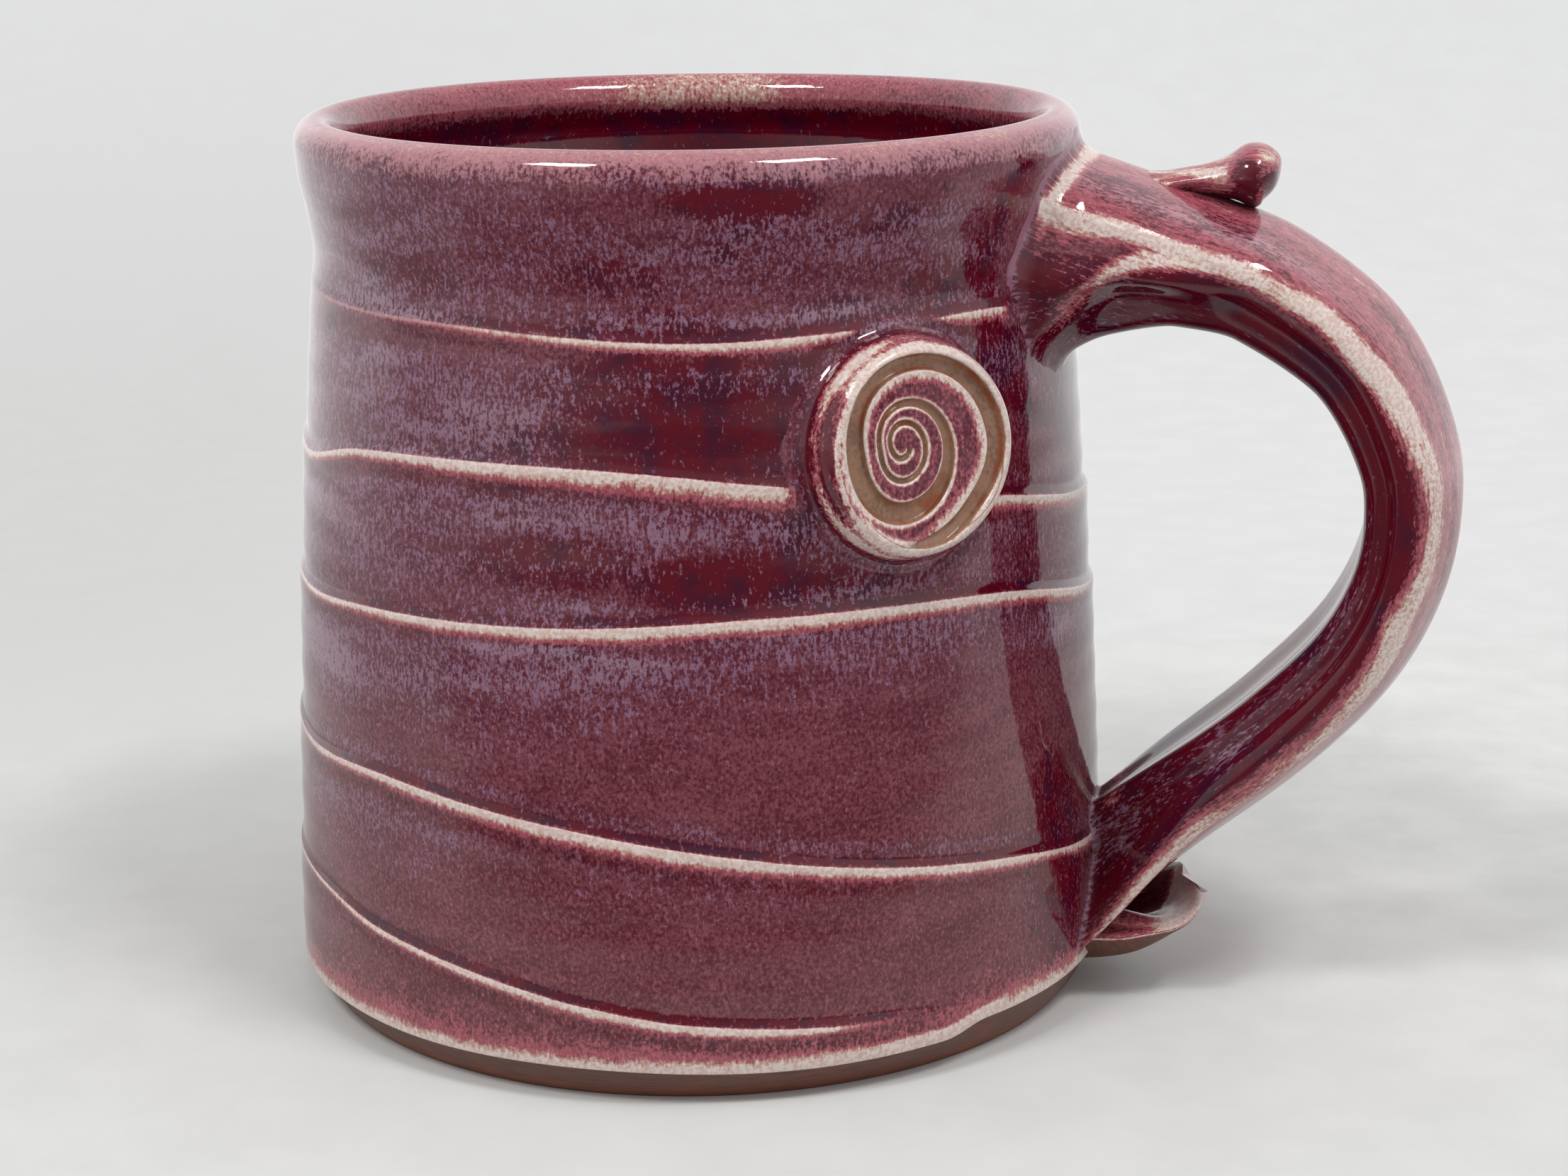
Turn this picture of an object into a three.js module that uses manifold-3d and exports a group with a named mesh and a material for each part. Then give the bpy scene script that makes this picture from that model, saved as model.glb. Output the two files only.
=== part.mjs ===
// A hand-thrown stoneware mug with a pulled strap handle, a thumb curl, a tail curl and a spiral medallion.
// Millimetres, +Z up. The origin is the centre of the flat base, and the handle points along +X.
// Each piece of clay is one mesh. A thin slip gap lies between pieces that are joined on the real mug.
import * as THREE from "three";
import Module from "manifold-3d";

// Wall
const mugHeight = 104;
const lipOuterRadius = 45.6;
const lipThickness = 5.4;
const lipShoulder = 3; // from the top of the lip down to its widest point
const lipArrisDepth = 3.4; // from the top of the lip down to the sharp line inside it
const waistRadius = 44;
const waistDepth = 15.8; // from the top of the lip down to the narrowest point
const footLineRadius = 49;
const footLineHeight = 4.5; // where the glaze ends above the bare bevel
const footRadius = 46.2;
const footRounding = 0.5; // of the edge that the mug stands on
const bellySwell = 0.9; // how far the wall bows out between the foot line and the waist
const wallThickness = 4.3;
const floorThickness = 6.5;
const insideCornerRadius = 9;

// Throwing line: one hand-drawn line that climbs clockwise, seen from above. The wall steps out under it.
const lineStartHeight = 9.2;
const lineTopDepth = 20.2; // from the top of the lip down to the line after all its turns
const lineTurns = 4;
const lineStep = 0.5;
const lineCove = 0.9; // height of the small hollow just above the line
const lineBearing = -76; // degrees from +X towards +Y, where the turns are counted from
const lineFade = 0.2; // turns over which the line dies away at its end
// Turns, and millimetres above an even climb: the hand's unevenness.
const lineWaver = [
  [-0.1, -1.9],
  [0, 0],
  [0.21, 4.6],
  [0.5, 0.5],
  [0.8, -4.9],
  [1, -0.6],
  [1.21, 1.8],
  [1.5, 3.3],
  [1.79, 5.5],
  [1.95, 8.4],
  [2.08, 4.6],
  [2.2, 1],
  [2.5, -1.2],
  [2.8, -1.2],
  [2.97, 4],
  [3.06, 4.1],
  [3.2, -1.8],
  [3.5, 0.5],
  [3.86, 2.8],
  [4, -0.2],
  [4.2, -2.6],
];

// Strap handle
const handleReach = 43.2; // from the wall to the furthest point of the strap's crest
const handleTopDepth = 4; // from the top of the lip down to the crest at the upper root
const handleFootHeight = 8; // of the crest at the lower root
const strapWidthTop = 34;
const strapWidthShoulder = 29;
const strapWidthMiddle = 26;
const strapWidthLow = 21.5;
const strapWidthFoot = 22.5;
const strapDepthTop = 25.5;
const strapDepthShoulder = 13.3;
const strapDepthMiddle = 10.8;
const strapDepthLow = 11.8;
const crestHeight = 3.6; // of the crest above the strap's outer edges
const undersideShareTop = 0.72; // how much of its usual width the underside keeps at the upper root
const undersideShareFoot = 0.5; // and at the lower root

// Thumb curl, a tongue on the crest that ends in a rolled scroll
const thumbCurlPlace = 0.105; // how far along the strap it starts
const thumbTongueWidth = 7;
const thumbTongueThickness = 2.8;
const thumbScrollRadius = 3.4;
const thumbScrollWidth = 9.6;
const thumbScrollRun = 8; // from the start of the tongue to the middle of the scroll

// Tail curl, the flicked end of the strap under the lower root
const tailReach = 12.3; // from the wall to the tip
const tailUnderside = 2.9; // height of the middle of the tail's underside at the wall
const tailRise = 9.3; // and from there up to its tip
const tailWidth = 19;
const tailThickness = 2.6;
const tailKeel = 2.8; // how far the tail's sides stand above its middle
const tailLean = 1.8; // how far the tip's corner towards +Y stands above its middle, and the other below it

// Spiral medallion
const medallionRadius = 12;
const medallionHeight = 4.4; // of the rim above the wall
const medallionRimRadius = 10.3;
const medallionRimFall = 1.2; // width over which the face drops from the rim
const medallionDish = 0.3; // depth of the spiral ridge's top below the rim
const medallionBearing = -46.5; // degrees from +X towards +Y
const medallionDepth = 32.3; // from the top of the lip down to its middle
const spiralAside = -2.7; // of the spiral's middle from the medallion's, along the wall
const spiralBelow = -1.4; // and down the wall
const spiralStartRadius = 0.8;
const spiralStartTurn = 0.25; // how far round its hollow starts, counted from straight down
const spiralPitch = 1.5; // at the start
const spiralSpread = 0.5; // how fast the pitch grows with each turn
const spiralDepth = 0.9; // of the hollow between the ridge's turns

const slipGap = 0.3;

// How finely the surfaces are divided
const wallColumns = 64;
const wallRows = 42;
const lipRows = 8;
const insideRows = 7;
const cornerRows = 4;
const strapRings = 42;
const strapSides = 26;
const curlRings = 20;
const curlSides = 16;
const medallionRings = 24;
const medallionColumns = 44;

const wasm = await Module();
wasm.setup();

const up = new THREE.Vector3(0, 0, 1);
const sideways = new THREE.Vector3(0, 1, 0);
const smooth = (from, to, x) =>
  from < to ? THREE.MathUtils.smoothstep(x, from, to) : 1 - THREE.MathUtils.smoothstep(x, to, from);

// A smooth curve through [x, value] pairs, as a function of x.
function through(pairs) {
  const xs = pairs.map((pair) => pair[0]);
  const values = pairs.map((pair) => pair[1]);
  const curve = new THREE.CubicInterpolant(xs, values, 1);
  return (x) => curve.evaluate(THREE.MathUtils.clamp(x, xs[0], xs[xs.length - 1]))[0];
}

// A closed skin over rings of points that all have the same count, fanned shut at the first and the last ring.
// Each cell is split along the diagonal whose ends are more alike.
function skin(rings, unlike = (p, q) => p.distanceTo(q)) {
  const sides = rings[0].length;
  const middles = [rings[0], rings[rings.length - 1]].map((ring) =>
    ring.reduce((sum, p) => sum.add(p), new THREE.Vector3()).divideScalar(sides),
  );
  const points = [...rings.flat(), ...middles];
  const faces = [];
  const at = (ring, side) => ring * sides + (side % sides);
  for (let side = 0; side < sides; side++) {
    faces.push(points.length - 2, at(0, side + 1), at(0, side));
    for (let ring = 0; ring + 1 < rings.length; ring++) {
      const a = at(ring, side);
      const b = at(ring, side + 1);
      const c = at(ring + 1, side + 1);
      const d = at(ring + 1, side);
      if (unlike(points[a], points[c]) < unlike(points[b], points[d])) faces.push(a, b, c, a, c, d);
      else faces.push(a, b, d, b, c, d);
    }
    const last = rings.length - 1;
    faces.push(points.length - 1, at(last, side), at(last, side + 1));
  }
  return new THREE.BufferGeometry().setFromPoints(points).setIndex(faces);
}

function solid(geometry) {
  const triVerts = new Uint32Array(geometry.index.array);
  const vertProperties = geometry.getAttribute("position").array;
  return new wasm.Manifold(new wasm.Mesh({ numProp: 3, vertProperties, triVerts }));
}

function geometryOf(body) {
  const mesh = body.getMesh();
  const points = new THREE.BufferAttribute(mesh.vertProperties, 3);
  return new THREE.BufferGeometry()
    .setAttribute("position", points)
    .setIndex(new THREE.BufferAttribute(mesh.triVerts, 1));
}

// The piece less whatever its neighbours take up.
function fitted(geometry, ...neighbours) {
  return geometryOf(neighbours.reduce((body, neighbour) => body.subtract(neighbour), solid(geometry)));
}

// Rings of a tube that follows a path in the XZ plane. outline(share, angle) gives a point of the section
// as [sideways, out], measured from the path, where out points away from the path's hollow side.
function sweep(path, count, sides, outline) {
  const rings = [];
  for (let i = 0; i <= count; i++) {
    const share = i / count;
    const place = path.getPointAt(share);
    const out = path.getTangentAt(share).cross(sideways).normalize();
    const ring = [];
    for (let side = 0; side < sides; side++) {
      const [across, height] = outline(share, (2 * Math.PI * side) / sides);
      ring.push(place.clone().addScaledVector(sideways, across).addScaledVector(out, height));
    }
    rings.push(ring);
  }
  return rings;
}

// Wall

const waistHeight = mugHeight - waistDepth;
const lipWidestHeight = mugHeight - lipShoulder;
const lipInnerRadius = lipOuterRadius - lipThickness;

// Radius of the outside of the wall before the throwing line marks it.
function wallRadius(height) {
  if (height > waistHeight) {
    return waistRadius + (lipOuterRadius - waistRadius) * smooth(waistHeight, lipWidestHeight, height);
  }
  const share = (height - footLineHeight) / (waistHeight - footLineHeight);
  return footLineRadius + (waistRadius - footLineRadius) * share + bellySwell * 4 * share * (1 - share);
}

const linePitch = (mugHeight - lineTopDepth - lineStartHeight) / lineTurns;
const waver = through(lineWaver);
const lineStart = lineWaver[0][0];
const lineEnd = lineWaver[lineWaver.length - 1][0];

// Each pass of the line over a bearing, as its height and how strongly it is marked there.
function linesAt(bearing) {
  const passes = [];
  const first = THREE.MathUtils.euclideanModulo((lineBearing - bearing) / 360 - lineStart, 1) + lineStart;
  for (let turn = first; turn < lineEnd; turn++) {
    const strength = smooth(lineEnd, lineEnd - lineFade, turn) * smooth(lineStart, lineStart + lineFade, turn);
    passes.push({ height: lineStartHeight + linePitch * turn + waver(turn), strength });
  }
  return passes;
}

// How far the wall stands out at a height: proud just under each line, sunk just over it, easing to nothing.
function relief(height, lines) {
  const easeBelow = linePitch / 2;
  const easeAbove = linePitch / 3;
  return lines.reduce((sum, line) => {
    const above = height - line.height;
    const step = (lineStep / 2) * line.strength;
    if (above <= 0) return sum + step * Math.exp(above / easeBelow);
    if (above < lineCove) return sum + step * (1 - (2 * above) / lineCove);
    return sum - step * Math.exp((lineCove - above) / easeAbove);
  }, 0);
}

// Rings of the outside wall from the foot line to under the lip. Near each line two rows are drawn
// to its edge and to the top of its cove, so that the edge stays sharp.
function wallRings(grow) {
  const top = lipWidestHeight;
  const spacing = (top - footLineHeight) / wallRows;
  const rings = Array.from({ length: wallRows + 1 }, () => []);
  for (let column = 0; column < wallColumns; column++) {
    const bearing = (360 * column) / wallColumns;
    const lines = linesAt(bearing);
    const heights = rings.map((_, row) => footLineHeight + row * spacing);
    for (const line of lines) {
      const row = Math.round((line.height - footLineHeight) / spacing);
      if (row < 1 || row + 2 > wallRows) continue;
      heights[row] = line.height;
      heights[row + 1] = line.height + lineCove;
    }
    heights.forEach((height, row) => {
      const radius = wallRadius(height) + relief(height, lines) + grow;
      rings[row].push(around(bearing, radius, height));
    });
  }
  return rings;
}

function around(bearing, radius, height) {
  return new THREE.Vector3(radius, 0, height).applyAxisAngle(up, THREE.MathUtils.degToRad(bearing));
}

function level(radius, height) {
  return Array.from({ length: wallColumns }, (_, column) => around((360 * column) / wallColumns, radius, height));
}

// The whole outside as one filled form, which cuts what is joined to the wall.
function wallForm(grow) {
  const rings = wallRings(grow);
  return solid(skin([level(footRadius + grow, 0), ...rings, level(lipInnerRadius, mugHeight)]));
}

function bodyGeometry() {
  const rings = [level(footRadius - footRounding, 0), level(footRadius, footRounding), ...wallRings(0)];
  const lipMiddle = lipOuterRadius - lipThickness / 2;
  for (let row = 1; row <= lipRows; row++) {
    const angle = (Math.PI * row) / lipRows;
    const drop = angle < Math.PI / 2 ? lipShoulder : lipArrisDepth;
    const radius = lipMiddle + (lipThickness / 2) * Math.cos(angle);
    rings.push(level(radius, mugHeight - drop * (1 - Math.sin(angle))));
  }
  const cornerTop = floorThickness + insideCornerRadius;
  const insideTop = mugHeight - 2 * lipArrisDepth;
  for (let row = 0; row <= insideRows; row++) {
    const height = insideTop + ((cornerTop - insideTop) * row) / insideRows;
    rings.push(level(wallRadius(height) - wallThickness, height));
  }
  const cornerMiddle = wallRadius(cornerTop) - wallThickness - insideCornerRadius;
  for (let row = 1; row <= cornerRows; row++) {
    const angle = (Math.PI * row) / (2 * cornerRows);
    const radius = cornerMiddle + insideCornerRadius * Math.cos(angle);
    rings.push(level(radius, cornerTop - insideCornerRadius * Math.sin(angle)));
  }
  const radiusOf = (p) => Math.hypot(p.x, p.y);
  return skin(rings, (p, q) => Math.abs(radiusOf(p) - radiusOf(q)));
}

// Strap handle

const handleTopHeight = mugHeight - handleTopDepth;

// The crest as a side view of the strap: shares of the reach out from the wall at each point's own height, and of
// the height between the roots. It starts and ends inside the wall.
const crestOutline = [
  [-0.074, 1.011],
  [0.217, 0.967],
  [0.409, 0.939],
  [0.621, 0.901],
  [0.879, 0.8],
  [1, 0.655],
  [1.005, 0.56],
  [0.954, 0.454],
  [0.83, 0.342],
  [0.605, 0.226],
  [0.278, 0.102],
  [-0.106, -0.038],
];
const crestPoints = crestOutline.map(([out, rise]) => {
  const height = handleFootHeight + rise * (handleTopHeight - handleFootHeight);
  return new THREE.Vector3(wallRadius(height) + out * handleReach, 0, height);
});
const crest = new THREE.CatmullRomCurve3(crestPoints, false, "centripetal");

// Half of the section, from the crest round to the middle of the underside: a share of the half width, then how
// far it lies under the crest as a share of the crest's height and a share of the strap's depth.
const halfSection = [
  [0, 0, 0],
  [0.42, 0.25, 0],
  [0.78, 0.55, 0],
  [0.94, 1, 0],
  [1, 1.3, 0.06],
  [0.88, 1, 0.36],
  [0.7, 0.5, 0.78],
  [0.42, 0, 0.99],
];
const undersideMiddle = [0, 0, 0.94];
const section = new THREE.CatmullRomCurve3(
  [
    ...halfSection.map(([across, crown, depth]) => new THREE.Vector3(across, crown, depth)),
    new THREE.Vector3(...undersideMiddle),
    ...halfSection
      .slice(1)
      .reverse()
      .map(([across, crown, depth]) => new THREE.Vector3(-across, crown, depth)),
  ],
  true,
  "centripetal",
);

// The flare of the upper root over the wall, from 1 at the wall to 0 at the shoulder.
function flare(share) {
  const rootEnd = 0.045;
  const shoulder = 0.21;
  return (1 - THREE.MathUtils.clamp((share - rootEnd) / (shoulder - rootEnd), 0, 1)) ** 2.4;
}
const widthAlong = through([
  [0, strapWidthShoulder],
  [0.2, strapWidthShoulder],
  [0.48, strapWidthMiddle],
  [0.8, strapWidthLow],
  [1, strapWidthFoot],
]);
const depthAlong = through([
  [0, strapDepthShoulder],
  [0.2, strapDepthShoulder],
  [0.48, strapDepthMiddle],
  [0.73, strapDepthLow],
  [1, strapDepthLow],
]);
const strapWidth = (share) => widthAlong(share) + (strapWidthTop - strapWidthShoulder) * flare(share);
const strapDepth = (share) => depthAlong(share) + (strapDepthTop - strapDepthShoulder) * flare(share);
const undersideShare = through([
  [0, undersideShareTop],
  [0.06, undersideShareTop],
  [0.2, 1],
  [0.78, 1],
  [0.92, undersideShareFoot],
  [1, undersideShareFoot],
]);
// The crest flattens out where the strap fans over the wall at its foot.
const crown = through([
  [0, crestHeight],
  [0.82, crestHeight],
  [0.94, 0],
  [1, -crestHeight / 4],
]);

// A point of the strap's section at a share of its length. It lies on the path at the crest. grow fattens it.
function strapOutline(share, angle, grow) {
  const point = section.getPoint((angle / (2 * Math.PI) + 0.75) % 1);
  const keep = 1 - (1 - undersideShare(share)) * Math.min(1, point.z * 2);
  const across = point.x * (strapWidth(share) / 2 + grow) * keep;
  return [-across, grow - point.y * crown(share) - point.z * (strapDepth(share) + 2 * grow)];
}

function strapSkin(grow) {
  return skin(sweep(crest, strapRings, strapSides, (share, angle) => strapOutline(share, angle, grow)));
}

// A tongue of clay along a path, with a lens-shaped section and a rounded tip. halfThickness and halfWidth are
// functions of the share of the path, and lift raises a point by its share of the path and of the half width.
function tongue(path, halfThickness, halfWidth, lift) {
  return skin(
    sweep(path, curlRings, curlSides, (share, angle) => {
      const across = Math.cos(angle);
      return [halfWidth(share) * across, halfThickness(share) * Math.sin(angle) + lift(share, across)];
    }),
  );
}

// Thumb curl: the points are run along the crest, and height above it.

function thumbCurlGeometry() {
  const start = crest.getPointAt(thumbCurlPlace);
  const along = crest.getTangentAt(thumbCurlPlace);
  const above = along.clone().cross(sideways);
  const run = thumbScrollRun;
  const r = thumbScrollRadius;
  const half = thumbTongueThickness / 2;
  const outline = [
    [-0.6 * run, -1.4 * half],
    [-0.1 * run, -0.7 * half],
    [0.25 * run, 0.5 * half],
    [run - 0.85 * r, 0.5 * r],
    [run, 0.88 * r],
    [run + 0.6 * r, 0.85 * r],
    [run + r, 0.7 * r],
  ];
  const points = outline.map(([x, y]) => start.clone().addScaledVector(along, x).addScaledVector(above, y));
  const path = new THREE.CatmullRomCurve3(points, false, "centripetal");
  const reach = 1.6 * run + r;
  const scroll = (1.6 * run) / reach;
  // The tongue swells into the round end, whose section shrinks as a ball's does.
  const round = (share) => {
    const off = ((share - scroll) * reach) / r;
    return off < 0 ? smooth(-1.3, 0, off) : Math.sqrt(Math.max(0.01, 1 - off ** 2));
  };
  const swell = (share, from, to) => (share < scroll ? from + (to - from) * round(share) : to * round(share));
  const halfThickness = (share) => swell(share, half, r);
  const halfWidth = (share) => swell(share, thumbTongueWidth / 2, thumbScrollWidth / 2);
  return tongue(path, halfThickness, halfWidth, () => 0);
}

// Tail curl: the points are run out from the wall, and height above its underside at the wall.

function tailCurlGeometry() {
  const wall = wallRadius(handleFootHeight);
  const outline = [
    [-0.25, 0.15],
    [0.1, 0.2],
    [0.38, 0.3],
    [0.66, 0.52],
    [0.87, 0.78],
    [1, 1],
  ];
  const points = outline.map(
    ([x, y]) => new THREE.Vector3(wall + x * tailReach, 0, tailUnderside + y * tailRise),
  );
  const path = new THREE.CatmullRomCurve3(points, false, "centripetal");
  const half = tailThickness / 2;
  const halfThickness = through([
    [0, 1.5 * half],
    [0.35, 1.25 * half],
    [0.6, 1.05 * half],
    [0.9, 0.75 * half],
    [1, 0.25 * half],
  ]);
  const halfWidth = through([
    [0, tailWidth / 2],
    [0.5, 0.49 * tailWidth],
    [0.85, 0.46 * tailWidth],
    [1, 0.34 * tailWidth],
  ]);
  const lift = (share, across) => tailKeel * (1 - share ** 3) * across ** 2 + tailLean * share * across;
  return tongue(path, halfThickness, halfWidth, lift);
}

// Spiral medallion, made lying on its back and then set on the wall

// How many turns of the spiral lie inside a radius, from radius = start + pitch * turns + spread * turns ** 2.
function turnsWithin(radius) {
  const inside = spiralPitch ** 2 + 4 * spiralSpread * Math.max(0, radius - spiralStartRadius);
  return (Math.sqrt(inside) - spiralPitch) / (2 * spiralSpread);
}

// x is down the wall, y is along it and z is out from it.
function medallionGeometry() {
  const heightAt = (x, y) => {
    const radius = Math.hypot(x, y);
    if (radius >= medallionRimRadius) {
      const share = (radius - medallionRimRadius) / (medallionRadius - medallionRimRadius);
      return medallionHeight * Math.sqrt(Math.max(0, 1 - share ** 2));
    }
    const down = x - spiralBelow;
    const aside = y - spiralAside;
    const turn = turnsWithin(Math.hypot(down, aside)) - Math.atan2(-aside, down) / (2 * Math.PI);
    const hollow = (1 - Math.cos(2 * Math.PI * (turn + spiralStartTurn))) / 2;
    const inFace = smooth(medallionRimRadius, medallionRimRadius - medallionRimFall, radius);
    return medallionHeight - inFace * (medallionDish + spiralDepth * hollow);
  };
  const ringAt = (radius, height) =>
    Array.from({ length: medallionColumns }, (_, column) => {
      const angle = (2 * Math.PI * column) / medallionColumns;
      const x = radius * Math.cos(angle);
      const y = radius * Math.sin(angle);
      return new THREE.Vector3(x, y, height(x, y));
    });
  const rings = [ringAt(medallionRadius, () => -medallionRadius / 2)];
  for (let ring = 0; ring < medallionRings; ring++) {
    rings.push(ringAt(medallionRadius * (1 - ring / medallionRings), heightAt));
  }
  const height = mugHeight - medallionDepth;
  const slope = Math.atan2(waistRadius - footLineRadius, waistHeight - footLineHeight);
  const seat = new THREE.Matrix4()
    .makeRotationZ(THREE.MathUtils.degToRad(medallionBearing))
    .multiply(new THREE.Matrix4().makeTranslation(wallRadius(height), 0, height))
    .multiply(new THREE.Matrix4().makeRotationY(Math.PI / 2 + slope));
  return skin(rings).applyMatrix4(seat);
}

// Glazed and bare stoneware

const plumGlaze = new THREE.MeshStandardMaterial({ color: 0x6e2d3c, roughness: 0.2, metalness: 0 });
const mauveGlaze = new THREE.MeshStandardMaterial({ color: 0x7d3c4f, roughness: 0.2, metalness: 0 });
const tanGlaze = new THREE.MeshStandardMaterial({ color: 0x9a6f66, roughness: 0.25, metalness: 0 });

const mug = new THREE.Group();
function piece(name, geometry, material) {
  const mesh = new THREE.Mesh(geometry, material);
  mesh.name = name;
  mug.add(mesh);
}

const wallCut = wallForm(slipGap);
const strapCut = solid(strapSkin(slipGap));
piece("mug_body", bodyGeometry(), plumGlaze);
piece("handle_strap", fitted(strapSkin(0), wallCut), mauveGlaze);
piece("thumb_rest_curl", fitted(thumbCurlGeometry(), strapCut, wallCut), mauveGlaze);
piece("tail_curl", fitted(tailCurlGeometry(), strapCut, wallCut), mauveGlaze);
piece("spiral_medallion", fitted(medallionGeometry(), wallCut), tanGlaze);

export default mug;
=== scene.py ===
"""A wheel-thrown stoneware mug under a plum and lavender glaze, with its pulled strap handle, thumb curl, tail curl
and spiral medallion.

Shapes are worked out in millimetres as whole numpy grids and go into the meshes in metres. Bearings are in degrees
from +X, where the handle is, towards +Y. Four masks travel with every vertex and tell the glaze what the clay
beneath it does: thin where an edge makes it break pale, and also painted highlights and painted sheen, pool where a
hollow lets it gather lavender, deep where it lies darkest red, and also painted shade on the tail, and bare where
there is none. With them goes flow, the place that the glaze's noise reads, whose last axis is the way that the
glaze ran.
"""

import math
from types import SimpleNamespace

import bpy
import numpy as np
from mathutils import Matrix, Vector


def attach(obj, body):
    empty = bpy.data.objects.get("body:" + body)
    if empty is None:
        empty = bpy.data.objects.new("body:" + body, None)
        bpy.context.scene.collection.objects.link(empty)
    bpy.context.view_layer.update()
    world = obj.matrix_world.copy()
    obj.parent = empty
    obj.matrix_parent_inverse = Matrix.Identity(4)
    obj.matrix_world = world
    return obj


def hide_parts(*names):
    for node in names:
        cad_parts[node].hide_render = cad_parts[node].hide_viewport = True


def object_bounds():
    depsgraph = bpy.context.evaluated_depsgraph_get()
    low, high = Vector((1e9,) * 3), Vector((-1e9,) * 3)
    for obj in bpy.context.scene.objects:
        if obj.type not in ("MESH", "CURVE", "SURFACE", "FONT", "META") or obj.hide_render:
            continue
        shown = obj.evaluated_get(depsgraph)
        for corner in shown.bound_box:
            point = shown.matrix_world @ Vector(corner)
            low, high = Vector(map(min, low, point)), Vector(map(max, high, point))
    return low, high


bl_info = {
    "name": "Glazed Pottery Mug",
    "version": (1, 0, 0),
    "blender": (4, 5, 0),
    "location": "3D View > Sidebar > Mug",
    "description": "Builds a thrown stoneware mug with a strap handle and a spiral medallion, and a plain studio",
    "category": "Add Mesh",
}

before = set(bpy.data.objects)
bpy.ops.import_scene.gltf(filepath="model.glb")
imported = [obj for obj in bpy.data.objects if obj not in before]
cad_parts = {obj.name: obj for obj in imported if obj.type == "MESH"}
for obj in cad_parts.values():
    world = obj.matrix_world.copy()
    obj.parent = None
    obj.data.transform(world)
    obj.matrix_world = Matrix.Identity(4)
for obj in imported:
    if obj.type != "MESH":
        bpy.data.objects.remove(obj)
CAD_LOW, CAD_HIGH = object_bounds()

MASKS = ("thin", "pool", "deep", "bare")


def metres(size):
    """Metres from millimetres."""
    return size / 1000


def millimetres(size):
    """Millimetres from metres."""
    return size * 1000


def paint(red, green, blue):
    """A screen colour, 0 to 255 a channel, as the linear colour that the nodes take."""
    share = np.array([red, green, blue]) / 255
    linear = np.where(share <= 0.04045, share / 12.92, ((share + 0.055) / 1.055) ** 2.4)
    return tuple(float(value) for value in linear)


def between(first, second, share):
    """The colour a share of the way from one colour to another."""
    return tuple(a + (b - a) * share for a, b in zip(first, second))


def length(name, size, description):
    """A length property, given in millimetres and kept in metres."""
    return bpy.props.FloatProperty(
        name=name,
        description=description,
        default=metres(size),
        min=0.0,
        subtype="DISTANCE",
        unit="LENGTH",
        precision=5,
    )


def colour(name, screen, description):
    """A colour property, given as a screen colour."""
    return bpy.props.FloatVectorProperty(
        name=name,
        description=description,
        default=paint(*screen),
        size=3,
        min=0.0,
        max=1.0,
        subtype="COLOR",
    )


class MugWallSettings(bpy.types.PropertyGroup):
    """Sizes of the thrown cup."""

    height: length("Height", millimetres(CAD_HIGH.z - CAD_LOW.z), "From the foot to the top of the lip")
    lip_radius: length("Lip radius", 45.6, "Outside of the lip at its widest")
    lip_thickness: length("Lip thickness", 5.4, "Across the lip")
    lip_shoulder: length("Lip shoulder", 3.0, "From the top of the lip down to its widest point")
    arris_depth: length("Arris depth", 3.4, "From the top of the lip down to the sharp line inside it")
    waist_radius: length("Waist radius", 44.0, "Outside of the wall at its narrowest")
    waist_depth: length("Waist depth", 15.8, "From the top of the lip down to the narrowest point")
    foot_line_radius: length("Foot line radius", 49.0, "Outside of the wall where the glaze ends")
    foot_line_height: length("Foot line height", 4.5, "Where the glaze ends above the bare bevel")
    foot_radius: length("Foot radius", 46.2, "Outside of the face that the mug stands on")
    belly: length("Belly", 0.9, "How far the wall bows out between the foot line and the waist")
    wall: length("Wall", 4.3, "Thickness of the wall")
    floor: length("Floor", 6.5, "Thickness of the floor")
    corner: length("Inside corner", 9.0, "Radius where the inside of the wall meets the floor")
    glaze: length("Glaze", 0.35, "How far the glaze stands out from the bare clay at the foot")
    line_step: length("Line step", 0.42, "How far the wall steps out under the throwing line")
    line_cove: length("Line cove", 1.5, "Height of the small hollow over the throwing line")
    line_start: length("Line start", 9.2, "Height of the throwing line where its first turn is counted from")
    line_top_depth: length("Line top depth", 20.2, "From the top of the lip down to the line after all its turns")


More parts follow.
